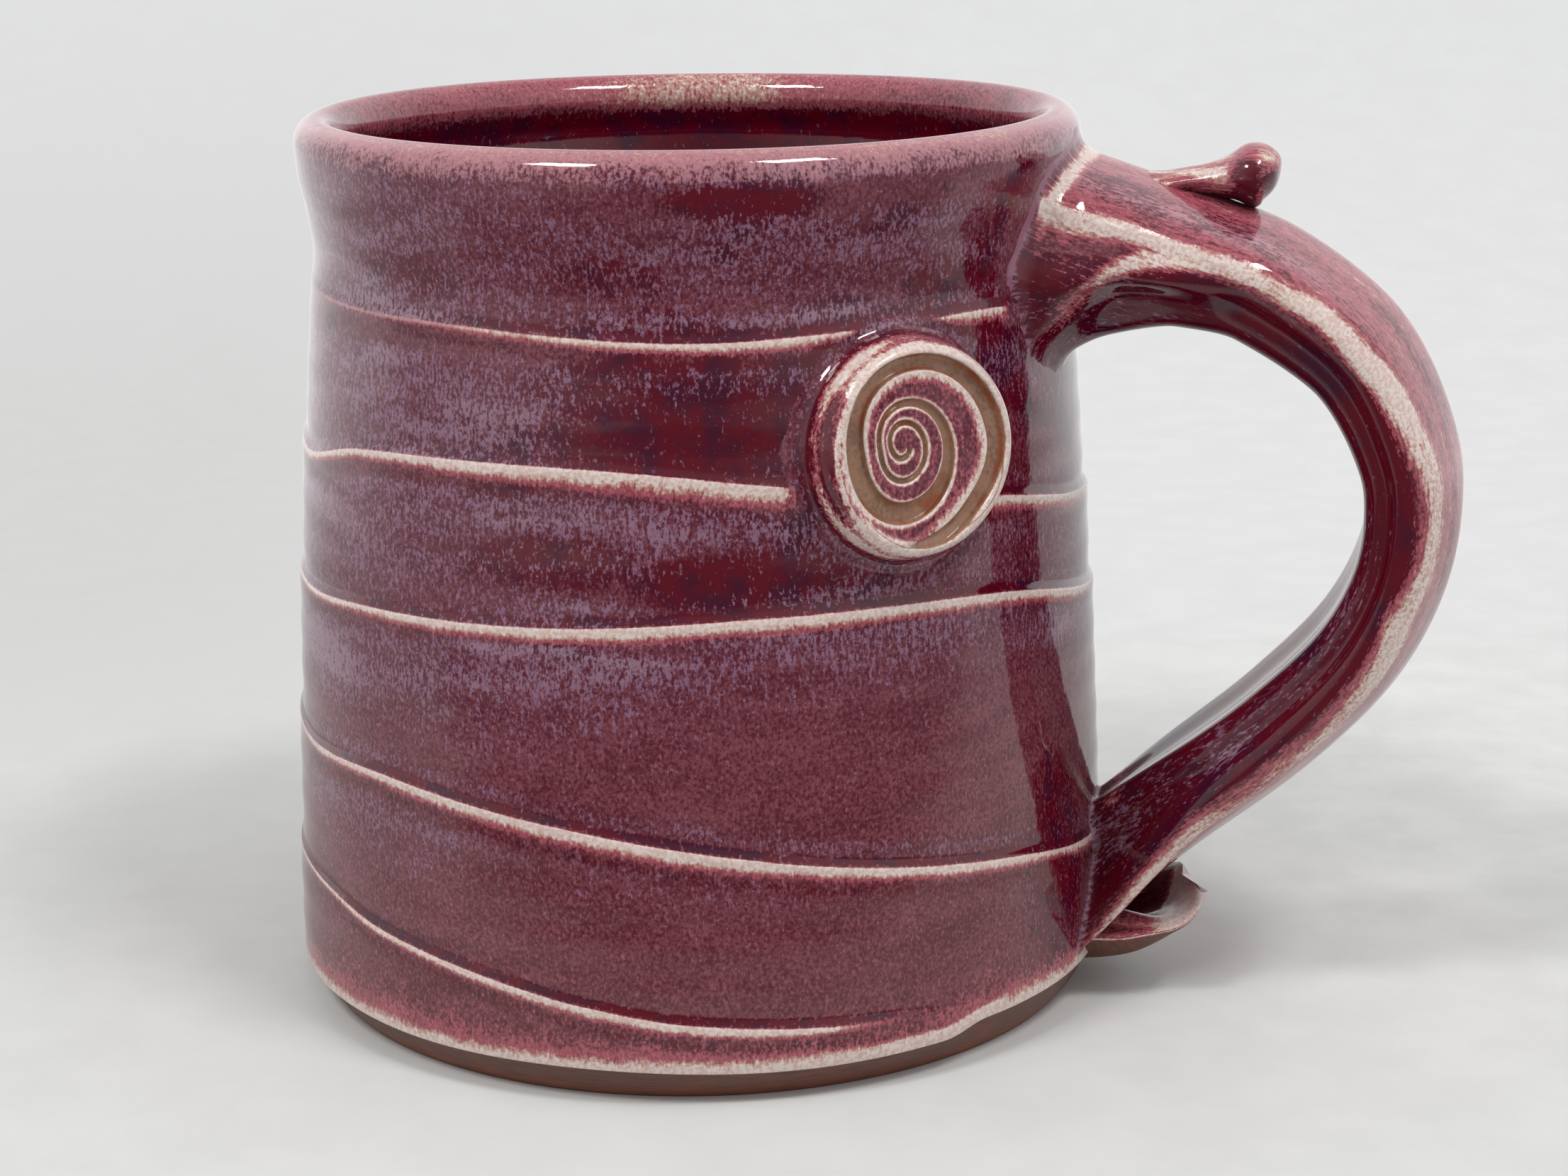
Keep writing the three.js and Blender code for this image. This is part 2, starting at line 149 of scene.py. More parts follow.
class MugHandleSettings(bpy.types.PropertyGroup):
    """Sizes of the strap handle and its two curls."""

    reach: length("Reach", 43.2, "From the wall to the furthest point of the crest")
    top_depth: length("Top depth", 4.0, "From the top of the lip down to the crest at the upper root")
    foot_height: length("Foot height", 8.0, "Height of the crest at the lower root")
    width_top: length("Width at the top", 34.0, "Width of the strap where it flares over the wall")
    width_shoulder: length("Width at the shoulder", 29.0, "Width of the strap at its shoulder")
    width_middle: length("Width at the middle", 26.0, "Width of the strap at its furthest point")
    width_low: length("Width low down", 21.5, "Width of the strap near its foot")
    width_foot: length("Width at the foot", 22.5, "Width of the strap at its foot")
    depth_top: length("Depth at the top", 25.5, "Depth of the strap where it flares over the wall")
    depth_shoulder: length("Depth at the shoulder", 13.3, "Depth of the strap at its shoulder")
    depth_middle: length("Depth at the middle", 10.8, "Depth of the strap at its furthest point")
    depth_low: length("Depth low down", 11.8, "Depth of the strap near its foot")
    crest: length("Crest", 3.6, "Height of the crest above the strap's outer edges")
    fillet: length("Fillet", 2.2, "Radius of the smoothed slip where the strap meets the wall")
    tongue_width: length("Tongue width", 7.0, "Width of the thumb curl's tongue")
    tongue_thickness: length("Tongue thickness", 2.8, "Thickness of the thumb curl's tongue")
    scroll_radius: length("Scroll radius", 3.4, "Radius of the rolled end of the thumb curl")
    scroll_width: length("Scroll width", 9.6, "Width of the rolled end of the thumb curl")
    scroll_run: length("Scroll run", 8.0, "From the start of the tongue to the middle of the scroll")
    tail_reach: length("Tail reach", 12.3, "From the wall to the tail's tip")
    tail_underside: length("Tail underside", 2.9, "Height of the middle of the tail's underside at the wall")
    tail_rise: length("Tail rise", 9.3, "From there up to the tail's tip")
    tail_width: length("Tail width", 19.0, "Width of the tail at the wall")
    tail_thickness: length("Tail thickness", 2.6, "Thickness of the tail")
    tail_keel: length("Tail keel", 2.8, "How far the tail's sides stand above its middle")
    tail_lean: length("Tail lean", 1.8, "How far the tip's far corner stands above its middle")


class MugMedallionSettings(bpy.types.PropertyGroup):
    """Sizes of the round medallion and its spiral."""

    radius: length("Radius", 12.0, "Outside of the medallion")
    rim_radius: length("Rim radius", 10.3, "Where the rounded rim starts")
    height: length("Height", 4.4, "Height of the rim above the wall")
    depth: length("Depth", 32.3, "From the top of the lip down to the medallion's middle")
    bearing: bpy.props.FloatProperty(
        name="Bearing",
        description="Where round the wall the medallion sits, from the handle",
        default=math.radians(-46.5),
        subtype="ANGLE",
    )
    spiral_aside: length("Spiral aside", 3.0, "How far the spiral starts to the left of the medallion's middle")
    spiral_above: length("Spiral above", 0.45, "How far the spiral starts above the medallion's middle")
    groove_depth: length("Groove depth", 0.75, "Depth of the outer turns of the spiral")
    fillet: length("Fillet", 1.9, "Radius of the slip where the medallion meets the wall")


class MugGlazeSettings(bpy.types.PropertyGroup):
    """Colours of the glaze and the clay."""

    plum: colour("Plum", (82, 24, 40), "The glaze at its usual thickness")
    brown: colour("Brown plum", (84, 26, 36), "The glaze low on the wall")
    fleck: colour("Fleck", (124, 68, 78), "Fine upright flecks that lighten the plum")
    red: colour("Deep red", (86, 3, 22), "The glaze where it lies clear and dark")
    purple: colour("Purple", (60, 8, 34), "The glaze in the deepest hollows")
    lavender: colour("Lavender", (132, 96, 120), "Streaks where the glaze gathers")
    rose: colour("Rose", (168, 86, 98), "The glaze as it starts to thin")
    tan: colour("Tan", (176, 132, 120), "The glaze where it is thin")
    white: colour("White", (214, 200, 193), "The glaze where it breaks on an edge")
    clay: colour("Clay", (100, 66, 56), "Bare fired clay")
    clay_edge: colour("Flashed clay", (136, 70, 40), "Bare clay that the fire has flushed orange")
    groove: colour("Groove", (146, 108, 86), "The thin brown wash in the spiral's hollow")


def names_in(group):
    """The names of a property group's own properties."""
    return [key for key in group.bl_rna.properties.keys() if key not in ("rna_type", "name")]


def values_of(group):
    """The values of a property group by name: lengths in millimetres, angles in radians and colours as tuples."""
    values = {}
    for name in names_in(group):
        value, rule = getattr(group, name), group.bl_rna.properties[name]
        if rule.subtype == "COLOR":
            value = tuple(value)
        elif rule.unit == "LENGTH":
            value = millimetres(value)
        values[name] = value
    return SimpleNamespace(**values)


# Curves and surfaces


def smooth(start, end, x):
    """The cubic ease 3 t^2 - 2 t^3, with t running from 0 at start to 1 at end, in either direction."""
    t = np.clip((x - start) / (end - start), 0, 1)
    return t * t * (3 - 2 * t)


def tent(distance, width):
    """1 at no distance, falling evenly to 0 at a width."""
    return np.clip(1 - np.abs(distance) / width, 0, 1)


def hermite(knots, values, slopes, x):
    """Cubic Hermite curve: each span is the cubic that has the given values and slopes at its two knots."""
    span = np.clip(np.searchsorted(knots, x, side="right") - 1, 0, len(knots) - 2)
    width = knots[span + 1] - knots[span]
    t = (x - knots[span]) / width
    if values.ndim > 1:
        width, t = width[..., None], t[..., None]
    a, b = values[span], values[span + 1]
    m, n = slopes[span] * width, slopes[span + 1] * width
    return (
        a * (2 * t**3 - 3 * t**2 + 1)
        + m * (t**3 - 2 * t**2 + t)
        + b * (3 * t**2 - 2 * t**3)
        + n * (t**3 - t**2)
    )


def most(*values):
    """The largest of several arrays at each place."""
    return np.max(np.broadcast_arrays(*values), axis=0)


def through(pairs, x):
    """The Hermite curve through (knot, value) pairs whose slope at a knot is that of the chord past it."""
    knots, values = np.array(pairs, float).T
    ends = (values[1:] - values[:-1]) / (knots[1:] - knots[:-1])
    inner = (values[2:] - values[:-2]) / (knots[2:] - knots[:-2])
    slopes = np.concatenate([ends[:1], inner, ends[-1:]])
    return hermite(knots, values, slopes, np.clip(x, knots[0], knots[-1]))


def centripetal(points, count, closed=False):
    """Points evenly spaced by length along the centripetal Catmull-Rom curve through the given ones.

    A knot's distance from the last is the square root of the chord, and the slope at a knot is the mean of its two
    chords' slopes less that of the long chord across it. Also gives, for each, its place counted in given points."""
    points = np.array(points, float)
    given = np.arange(len(points))
    if closed:
        given = np.arange(-3, len(points) + 3)
        points = points[given % len(points)]
    chord = np.linalg.norm(np.diff(points, axis=0), axis=1)
    knots = np.concatenate([[0], np.cumsum(np.sqrt(chord))])
    step = np.diff(knots)[:, None]
    slope = np.diff(points, axis=0) / step
    across = (points[2:] - points[:-2]) / (step[1:] + step[:-1])
    slopes = np.concatenate([slope[:1], slope[1:] + slope[:-1] - across, slope[-1:]])
    first, last = (3, -3) if closed else (0, -1)
    fine = np.linspace(knots[first], knots[last], 4000)
    curve = hermite(knots, points, slopes, fine)
    run = np.concatenate([[0], np.cumsum(np.linalg.norm(np.diff(curve, axis=0), axis=1))])
    wanted = np.linspace(0, run[-1], count, endpoint=not closed)
    at = np.interp(wanted, run, fine)
    return hermite(knots, points, slopes, at), np.interp(at, knots, given)


def round_ring(ring, places):
    """The closed curve through a ring's points, at places counted in those points."""
    curve, at = centripetal(ring, 3000, closed=True)
    return np.stack([np.interp(places, at, column, period=len(ring)) for column in curve.T], 1)


def spread_along(path, shares):
    """The points of an even path at the given shares of its length."""
    even = np.linspace(0, 1, len(path))
    return np.stack([np.interp(shares, even, column) for column in path.T], 1)


def angles_round(columns):
    """Even angles round a section, in radians, as one row."""
    return np.arange(columns)[None] * 2 * np.pi / columns


def put_surface(name, grid, masks, flow=None):
    """A closed mesh over a grid of points (rows, columns, xyz) in millimetres, as a new object at the origin.

    Each cell of four neighbours is a face. Columns wrap round, and the first and last rows are fanned shut on their
    own middles. The faces are turned outward if the enclosed volume comes out negative. flow is a grid of the places
    that the glaze reads, the points themselves unless it is given."""
    rows, columns, _ = grid.shape
    count = rows * columns
    points = metres(np.concatenate([grid.reshape(-1, 3), grid[:1].mean(1), grid[-1:].mean(1)]))
    index = np.arange(count).reshape(rows, columns)
    beside = np.roll(index, -1, axis=1)
    quads = np.stack([index[:-1], beside[:-1], beside[1:], index[1:]], -1).reshape(-1, 4)
    start = np.stack([np.full(columns, count), beside[0], index[0]], -1)
    end = np.stack([np.full(columns, count + 1), index[-1], beside[-1]], -1)
    triangles = np.concatenate([quads[:, :3], quads[:, [0, 2, 3]], start, end])
    corners = points[triangles]
    volume = np.einsum("ij,ij->i", corners[:, 0], np.cross(corners[:, 1], corners[:, 2])).sum()
    if volume < 0:
        quads, start, end = quads[:, ::-1], start[:, ::-1], end[:, ::-1]
    loops = np.concatenate([quads.ravel(), start.ravel(), end.ravel()]).astype(np.int32)
    sizes = np.concatenate([np.full(len(quads), 4), np.full(2 * columns, 3)])
    starts = np.concatenate([[0], np.cumsum(sizes)[:-1]]).astype(np.int32)

    mesh = bpy.data.meshes.new(name)
    mesh.vertices.add(len(points))
    mesh.vertices.foreach_set("co", points.astype(np.float32).ravel())
    mesh.loops.add(len(loops))
    mesh.loops.foreach_set("vertex_index", loops)
    mesh.polygons.add(len(sizes))
    mesh.polygons.foreach_set("loop_start", starts)
    mesh.update(calc_edges=True)
    mesh.polygons.foreach_set("use_smooth", np.ones(len(sizes), bool))
    for mask in MASKS:
        values = np.broadcast_to(masks.get(mask, 0.0), (rows, columns))
        values = np.concatenate([values.ravel(), values[:1].mean(1), values[-1:].mean(1)])
        mesh.attributes.new(mask, "FLOAT", "POINT").data.foreach_set("value", values.astype(np.float32))
    flow = grid if flow is None else flow
    flow = metres(np.concatenate([flow.reshape(-1, 3), flow[:1].mean(1), flow[-1:].mean(1)]))
    flow_data = mesh.attributes.new("flow", "FLOAT_VECTOR", "POINT").data
    flow_data.foreach_set("vector", flow.astype(np.float32).ravel())
    mesh.validate()
    made = bpy.data.objects.new(name, mesh)
    bpy.context.scene.collection.objects.link(made)
    return made


def place(made, node, slot, material):
    """Gives a piece its material and its place on the body, and hides the imported part named by node. slot is not
    used.
    """
    made.data.materials.append(material)
    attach(made, "root")
    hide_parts(node)


def normals_of(grid):
    """Unit normals of a grid whose columns wrap: the cross product of its two directions of difference."""
    down = np.gradient(grid, axis=0)
    along = np.roll(grid, -1, axis=1) - np.roll(grid, 1, axis=1)
    normal = np.cross(along, down)
    return normal / np.maximum(np.linalg.norm(normal, axis=2, keepdims=True), 1e-9)


# The wall and its throwing line

# The line's turns, the bearing where each is counted from, and the turns over which its upper end fades away.
LINE_TURNS = 4
LINE_BEARING = -76.0
LINE_FADE = 0.2

# Turns, and millimetres above an even climb: the hand's unevenness.
LINE_WAVER = [
    (-0.13, -0.5), (-0.08, -0.2), (-0.04, -0.35), (0.01, 0), (0.03, 0.55), (0.055, 1.3), (0.08, 2.2),
    (0.11, 2.95), (0.143, 3.5), (0.17, 4.28), (0.2, 4.4), (0.5, 0.5), (0.8, -5.1),
    (0.87, -3), (0.94, -1.1), (1, 0.9), (1.06, 2.5), (1.13, 3.2), (1.2, 1.5), (1.5, 3.3),
    (1.79, 6.1), (1.88, 9.1), (1.97, 8.4), (2.05, 5.8), (2.14, 3.1), (2.2, 1), (2.5, -1.2),
    (2.8, -1), (2.87, 1.1), (2.97, 3.7), (3.03, 4.5), (3.1, 3.3), (3.15, 1.5), (3.21, -2.4),
    (3.5, 0.5), (3.86, 3.1), (3.93, 1.7), (4, -0.2), (4.1, -0.9), (4.18, -2.2), (4.32, -3.5),
]  # fmt: skip

# Turns, how far down from the line the pale break runs there in millimetres, and how pale it is.
LINE_BREAK = [
    (-0.1, 0.7, 0.3), (-0.06, 1, 0.7), (-0.03, 1.4, 1), (0.05, 1.6, 1), (0.1, 1.2, 1), (0.2, 0.8, 0.9), (0.5, 1, 0.9),
    (0.9, 1.8, 1), (1, 2.3, 1), (1.08, 2, 1), (1.2, 1.1, 0.95), (1.5, 1.3, 0.9), (1.9, 2, 1), (2, 2.3, 1),
    (2.1, 1.7, 1), (2.2, 1.1, 0.9), (2.5, 1.3, 0.9), (2.8, 1.8, 0.9), (2.95, 3, 1), (3.05, 2.7, 1), (3.12, 1.7, 1),
    (3.2, 1.2, 0.95), (3.5, 1.3, 0.9), (3.84, 2.2, 0.9), (3.93, 1.9, 0.95), (4.02, 1.4, 0.9), (4.07, 1.2, 0.75),
    (4.12, 1, 0.55), (4.32, 0.8, 0.4),
]  # fmt: skip

# Dark pools of clear glaze on the wall: bearing, height, half the width and half the height in millimetres, depth.
DARK_POOLS = [
    (-73, 74.5, 17, 5.5, 1), (-69, 99, 9, 2.2, 0.8), (-71, 58.5, 12, 3.5, 0.75), (-88, 91, 8, 2.5, 0.4),
    (-96, 60.5, 12, 3.5, 0.5), (-38, 88.5, 7, 3.5, 0.5), (-120, 90, 9, 3, 0.4), (-84, 79, 12, 4, 0.6),
    (-19, 20, 7, 17, 0.55), (-24, 62, 5, 20, 0.3), (25, 60, 16, 7, 0.6), (100, 76, 18, 5, 0.7),
    (165, 55, 20, 6, 0.6), (140, 96, 12, 4, 0.6),
]  # fmt: skip


def wall_radius(wall, z):
    """Radius of the outside of the wall without its marks: a straight lean with a parabolic belly from the foot
    line to the waist, then a cubic ease out to the lip."""
    waist = wall.height - wall.waist_depth
    to_lip = smooth(waist, wall.height - wall.lip_shoulder, z)
    flare = wall.waist_radius + (wall.lip_radius - wall.waist_radius) * to_lip
    share = (z - wall.foot_line_height) / (waist - wall.foot_line_height)
    lean = wall.foot_line_radius + (wall.waist_radius - wall.foot_line_radius) * share
    return np.where(z > waist, flare, lean + wall.belly * 4 * share * (1 - share))


def line_pitch(wall):
    """How far the line climbs in a turn."""
    return (wall.height - wall.line_top_depth - wall.line_start) / LINE_TURNS


def passes(wall, bearing):
    """The passes of the line over each bearing, as (turn, height, strength), each with the passes stacked first.
    A pass's height is an even climb by the turn plus the hand's waver, and it fades away at both ends."""
    low, high = LINE_WAVER[0][0], LINE_WAVER[-1][0]
    first = np.mod((LINE_BEARING - bearing) / 360 - low, 1) + low
    turn = np.stack([first + extra for extra in range(LINE_TURNS + 1)])
    strength = smooth(high, high - LINE_FADE, turn) * smooth(low, low + LINE_FADE / 2, turn)
    height = wall.line_start + line_pitch(wall) * turn + through(LINE_WAVER, turn)
    return turn, np.where(turn < high, height, 1e4), strength


def relief(wall, z, heights, strengths):
    """How far the wall stands out at a height: proud just under each line and sunk just over it. Both die away as
    exponentials, and the cove between them is half a cosine wave."""
    above = z - heights
    half = wall.line_step / 2 * strengths
    cove = np.cos(np.pi * np.clip(above / wall.line_cove, 0, 1))
    under = np.exp(np.minimum(above, 0) / (line_pitch(wall) / 2))
    over = np.exp(-np.maximum(above - wall.line_cove, 0) / (line_pitch(wall) / 3))
    return (half * cove * under * over).sum(0)


def foot_line(wall, bearing):
    """Height of the glaze's lower edge: level, with a low rise beside the handle and a slow waver."""
    from_front = np.mod(bearing - LINE_BEARING + 180, 360) - 180
    rise = 1.1 * smooth(33, 40, from_front) * smooth(120, 75, from_front)
    turn = np.radians(bearing)
    return wall.foot_line_height + rise + 0.16 * np.sin(3 * turn + 1) + 0.1 * np.sin(7 * turn)


def around(bearing, radius, z):
    """Points at a bearing, a radius and a height. The three are arrays that broadcast together."""
    turn = np.radians(bearing)
    return np.stack(np.broadcast_arrays(radius * np.cos(turn), radius * np.sin(turn), z), -1)


def crowded(low, high, count, heights, strengths, reach=1.6, crowding=9.0):
    """Heights from low to high for each column, crowded where the line passes.

    The wanted density is 1 plus a bell of the given crowding at each pass. Its running sum, made to end at 1, is
    inverted at even shares, all columns in one interpolation, each shifted past the one before."""
    columns = heights.shape[1]
    fine = np.linspace(0, 1, 1200)[:, None] * (high - low) + low
    bells = np.exp(-(((fine[None] - heights[:, None]) / reach) ** 2))
    density = 1 + crowding * (strengths[:, None] * bells).sum(0)
    running = np.cumsum(density, axis=0) - density[:1]
    running = running / running[-1:]
    shift = 2 * np.arange(columns)[None]
    shares = np.linspace(0, 1, count)[:, None]
    heights = np.interp((shares + shift).T.ravel(), (running + shift).T.ravel(), fine.T.ravel())
    return heights.reshape(columns, count).T


def wall_masks(wall, handle, medallion, bearing, z):
    """Masks of the glaze on the outside of the wall, from the distance s above and below each pass of the line, and
    from the distance to the medallion's and the strap's edges. All distances are in millimetres."""
    turn, heights, strengths = passes(wall, bearing)
    s = z - heights
    strength = np.broadcast_to(strengths, s.shape)
    reach = through([row[:2] for row in LINE_BREAK], turn)
    peak = through([(row[0], row[2]) for row in LINE_BREAK], turn)
    thin = (strength * peak * smooth(0.55, 0.3, s) * np.clip(1.1 + (s - 0.3) / reach, 0, 1)).max(0)
    under = s + reach * 0.85 + 0.5
    deep = (strength * np.maximum(tent(s - 1.0, 0.7), 0.4 * tent(under, 1.5))).max(0)

    # The glaze stops in a thin white roll, and above it runs thin and rosy for a finger's width.
    bead = z - foot_line(wall, bearing)
    roll = most(np.clip(1.7 - bead / 1.05, 0, 1), 0.36 * smooth(5, 2, bead), 0.22 * smooth(9, 4, bead))
    thin = np.maximum(thin, roll)

    # Lavender gathers over each line, under the lip and, on the left, all over the upper wall.
    top = wall.height - wall.lip_shoulder - 1
    below = np.where(s < 0, -s, 1e3)
    nearest = below.argmin(0)
    line_below = np.take_along_axis(strength, nearest[None], 0)[0]
    distance = below.min(0)
    seen = np.mod(bearing + 270, 360) - 270
    leftward = smooth(-40, -130, seen)
    gather = smooth(1.6, 3.4, distance) * smooth(6 + 9 * leftward + 0.12 * z, 4.0, distance) * line_below
    neck = smooth(1.2, 4, top - z) * smooth(17, 8, top - z)
    fade = smooth(8, 44, z) * (0.7 + 0.3 * leftward)
    ledge = (strength * tent(s - 2.4, 1.8)).max(0) * smooth(14, 30, z)
    pool = most(gather * fade, 0.62 * neck, 0.8 * ledge)
    pool = np.maximum(pool, (0.8 + 0.15 * tent(z - 66, 16)) * leftward * smooth(28, 55, z) * smooth(1.5, 4, distance))
    # Under the third line lavender gathers all the way to the right.
    below_third = -np.where((turn > 1.6) & (turn < 2.6), s, 99)
    under_third = (smooth(0.8, 1.8, below_third) * smooth(9, 5, below_third)).max(0)
    under_third = under_third * (1 - 0.35 * tent(seen + 82, 22))
    pool = np.minimum(np.maximum(pool, 0.85 * under_third), 0.9)
    deep = deep * (1 - 0.6 * under_third)
    for turned, height, half_width, half_height, depth in DARK_POOLS:
        aside = np.radians(np.mod(bearing - turned + 180, 360) - 180) * wall.waist_radius / half_width
        dark = depth * smooth(1.3, 0.5, np.hypot(aside, (z - height) / half_height))
        deep, pool = np.maximum(deep, dark), pool * (1 - 0.6 * dark)

    # Slip and glaze gather in a ring round what is joined to the wall.
    turn_from = np.mod(bearing - math.degrees(medallion.bearing) + 180, 360) - 180
    aside = np.radians(turn_from) * wall_radius(wall, z)
    ring = np.hypot(aside, z - (wall.height - medallion.depth)) - medallion.radius
    pool = np.maximum(pool * smooth(0.5, 3, ring), 0.85 * tent(ring - 1.1, 1.3))
    deep = np.maximum(deep * smooth(0, 3, ring), 0.6 * tent(ring - 2.6, 1.2))
    thin = thin * smooth(1.0, 2.6, ring)

    from_handle = np.mod(bearing + 180, 360) - 180
    aside = np.abs(np.radians(from_handle)) * wall_radius(wall, z)
    middle, half_height, half_width = wall.height - 17.5, 12.5, handle.width_top / 2 + 0.5
    oval = ((aside / half_width) ** 3 + (np.abs(z - middle) / half_height) ** 3) ** (1 / 3)
    root = (oval - 1) * 13
    pool = np.maximum(pool * smooth(-1, 2, root), 0.7 * tent(root - 1.2, 1.4))
    deep = np.maximum(deep, 0.7 * tent(root - 4.0, 3.0))
    thin = thin * smooth(1.0, 2.5, root)
    return {"thin": thin, "pool": pool, "deep": deep}


def body_surface(wall, handle, medallion):
    """The cup as a surface of revolution with a wavering profile: radius and height are functions of the row and of
    the bearing. Rows run from the middle of the underside out, up the wall, over the lip and down to the middle of
    the floor."""
    columns, foot_rows, wall_rows, lip_rows, inside_rows, corner_rows, floor_rows = 360, 12, 168, 25, 34, 11, 9
    bearing = np.arange(columns)[None] * 360.0 / columns
    _, heights, strengths = passes(wall, bearing[0])
    turn = np.radians(bearing)
    seat = foot_line(wall, bearing)
    bands = []

    def band(radius, z, **masks):
        radius, z = np.broadcast_arrays(radius, z)
        shape = (radius.shape[0], columns)
        grid = around(bearing, np.broadcast_to(radius, shape), np.broadcast_to(z, shape))
        bands.append((grid, {mask: np.broadcast_to(masks.get(mask, 0.0), shape) for mask in MASKS}))

    under = np.array([0.3, 0.62, 0.95, 1])[:, None] * (wall.foot_radius - 0.5)
    band(under, np.zeros_like(under), bare=1.0)

    # Bare bevel with fine trimming rings.
    t = np.linspace(0, 1, foot_rows)[:, None]
    z = 0.5 + (seat - 0.35 - 0.5) * t
    bare_radius = wall.foot_line_radius - wall.glaze
    ripple = 0.05 * np.sin(2 * np.pi * z / 0.85 + 0.4 * np.sin(turn))
    band(wall.foot_radius + (bare_radius - wall.foot_radius) * (t + 0.22 * t * (1 - t)) + ripple, z, bare=1.0)

    # The glaze ends in a rolled edge.
    angle = np.radians([12, 38, 64, 88])[:, None]
    roll = wall.glaze + 0.12
    base = bare_radius + 0.02
    band(base + roll * np.sin(angle), seat - 0.3 - roll * np.cos(angle) * 0.6, bare=0.0, thin=0.95)

    low, high = seat, wall.height - wall.lip_shoulder
    z = crowded(low, high, wall_rows, heights, strengths)[1:]
    bead = 0.14 * np.exp(-(((z - seat - 0.4) / 0.8) ** 2))
    hand = 0.07 * np.sin(2 * turn + 0.11 * z) + 0.05 * np.sin(2 * np.pi * z / 5.2 + turn)
    radius = wall_radius(wall, z) + relief(wall, z, heights[:, None], strengths[:, None]) + bead + hand
    masks = wall_masks(wall, handle, medallion, bearing, z)
    band(radius[:-1], z[:-1], **{mask: values[:-1] for mask, values in masks.items()})

    # Rounded lip. The glaze thins to rose on it, with a painted sheen on the shoulder that faces up, and breaks pale
    # in patches along the sharp line inside. At the back, opposite the camera, a broad pale patch is painted sheen.
    angle = np.linspace(0, np.pi, lip_rows)[:, None]
    drop = np.where(angle < np.pi / 2, wall.lip_shoulder, wall.arris_depth)
    half = wall.lip_thickness / 2
    wave = 0.1 * np.sin(2 * turn + 1) + 0.06 * np.sin(3 * turn)
    radius = wall.lip_radius - half + half * np.cos(angle)
    # A broad pale patch at the back, opposite the camera, is painted sheen, with a small wave all round.
    back_sheen_patch = np.exp(14 * (np.cos(turn - 1.8) - 1)) + 0.12 * np.sin(5 * turn + 1)
    # The tent on the upper shoulder is painted sheen; the rest is the glaze thinning.
    lip_thin_and_sheen = 0.3 + 0.14 * tent(angle - 0.9, 0.8) + 0.12 * smooth(0.5, 1.4, angle)
    lip_thin_and_sheen = lip_thin_and_sheen + smooth(1.3, 2.2, angle) * (0.3 * back_sheen_patch - 0.06)
    lip_pool = 0.7 * smooth(1.7, 1.1, angle)
    band(radius, wall.height - drop * (1 - np.sin(angle)) + wave * np.sin(angle), thin=lip_thin_and_sheen, pool=lip_pool)

    # Inside, with the soft spiral that the fingers leave.
    arris = wall.height - wall.arris_depth
    top, bottom = wall.height - 2 * wall.arris_depth, wall.floor + wall.corner
    inner = wall.lip_radius - wall.lip_thickness
    step = np.array([0.2, 0.6, 1.2, 1.9, 2.7])[:, None]
    # Just under the sharp line the glaze stays pale, and the painted sheen patch carries on there.
    below_lip = (0.3 * back_sheen_patch + 0.34) * smooth(2.6, 0, step)
    radius = inner + (wall_radius(wall, top) - wall.wall - inner) * step / wall.arris_depth
    band(radius, arris - step, thin=below_lip, deep=0.75 * smooth(0.2, 2, step))
    z = top + (bottom - top) * np.linspace(0, 1, inside_rows)[:, None] ** 1.15
    fingers = 0.12 * np.sin(2 * np.pi * (z / 7.5 - bearing / 360)) * smooth(top, top - 8, z)
    shade = 0.72 + 0.12 * np.sin(3 * turn + z / 6)
    band(wall_radius(wall, z) - wall.wall + fingers, z, deep=shade, pool=0.3 * smooth(top - 4, top - 14, z))

    middle = wall_radius(wall, bottom) - wall.wall - wall.corner
    angle = np.linspace(0, np.pi / 2, corner_rows)[1:, None]
    band(middle + wall.corner * np.cos(angle), bottom - wall.corner * np.sin(angle), deep=0.7, pool=0.3)
    radius = middle * np.linspace(1, 0, floor_rows)[1:-1, None]
    mound = 0.5 * np.exp(-((radius / 7) ** 2)) + 0.12 * np.cos(2 * np.pi * (radius / 6 + bearing / 360))
    band(radius, wall.floor + mound, deep=0.5, pool=0.2)

    grid = np.concatenate([points for points, _ in bands])
    masks = {mask: np.concatenate([values[mask] for _, values in bands]) for mask in MASKS}
    return grid, masks


# The strap handle

# The crest from the upper root to the lower: shares of the reach out from the wall, and of the height between roots.
CREST = [
    (-0.074, 1.011), (0.217, 0.967), (0.409, 0.939), (0.621, 0.901), (0.879, 0.8), (1, 0.655),
    (1.005, 0.56), (0.954, 0.454), (0.83, 0.342), (0.605, 0.226), (0.278, 0.102), (-0.106, -0.038),
]  # fmt: skip

# Half of the section from the crest round to the underside: a share of the half width, then how far it lies under
# the crest as a share of the crest's height and of the strap's depth.
SECTION = [
    (0, 0, 0), (0.26, 0.14, 0), (0.5, 0.36, 0), (0.76, 0.64, 0), (0.92, 0.9, 0), (1, 1.3, 0.06),
    (0.95, 1.15, 0.24), (0.85, 0.9, 0.42), (0.8, 0.75, 0.62), (0.72, 0.5, 0.79), (0.6, 0.2, 0.93),
    (0.4, 0, 0.985), (0, 0, 0.945),
]  # fmt: skip

# How the web of clay under the upper root moves those points, in millimetres: outward at the wall, outward just past
# it, then the drop at the wall and just past it.
WEB = [
    (0, 0, 0, 0), (-0.6, -0.3, 0, 0), (-1.2, -0.5, 0, 0), (-2.6, -0.9, 0.3, 0.3), (-3.4, -1.2, 0.8, 0.6),
    (-3.0, -1.1, 0.4, 0), (1.2, 1.6, 0, -0.4), (5.2, 3.4, 0.1, -0.6), (5.0, 0.6, 1.6, -1.3),
    (2.2, 0.3, 2.8, -0.4), (1.2, 0, 1.8, 0), (0, 0, 0.6, 0), (0, 0, 0, 0),
]  # fmt: skip
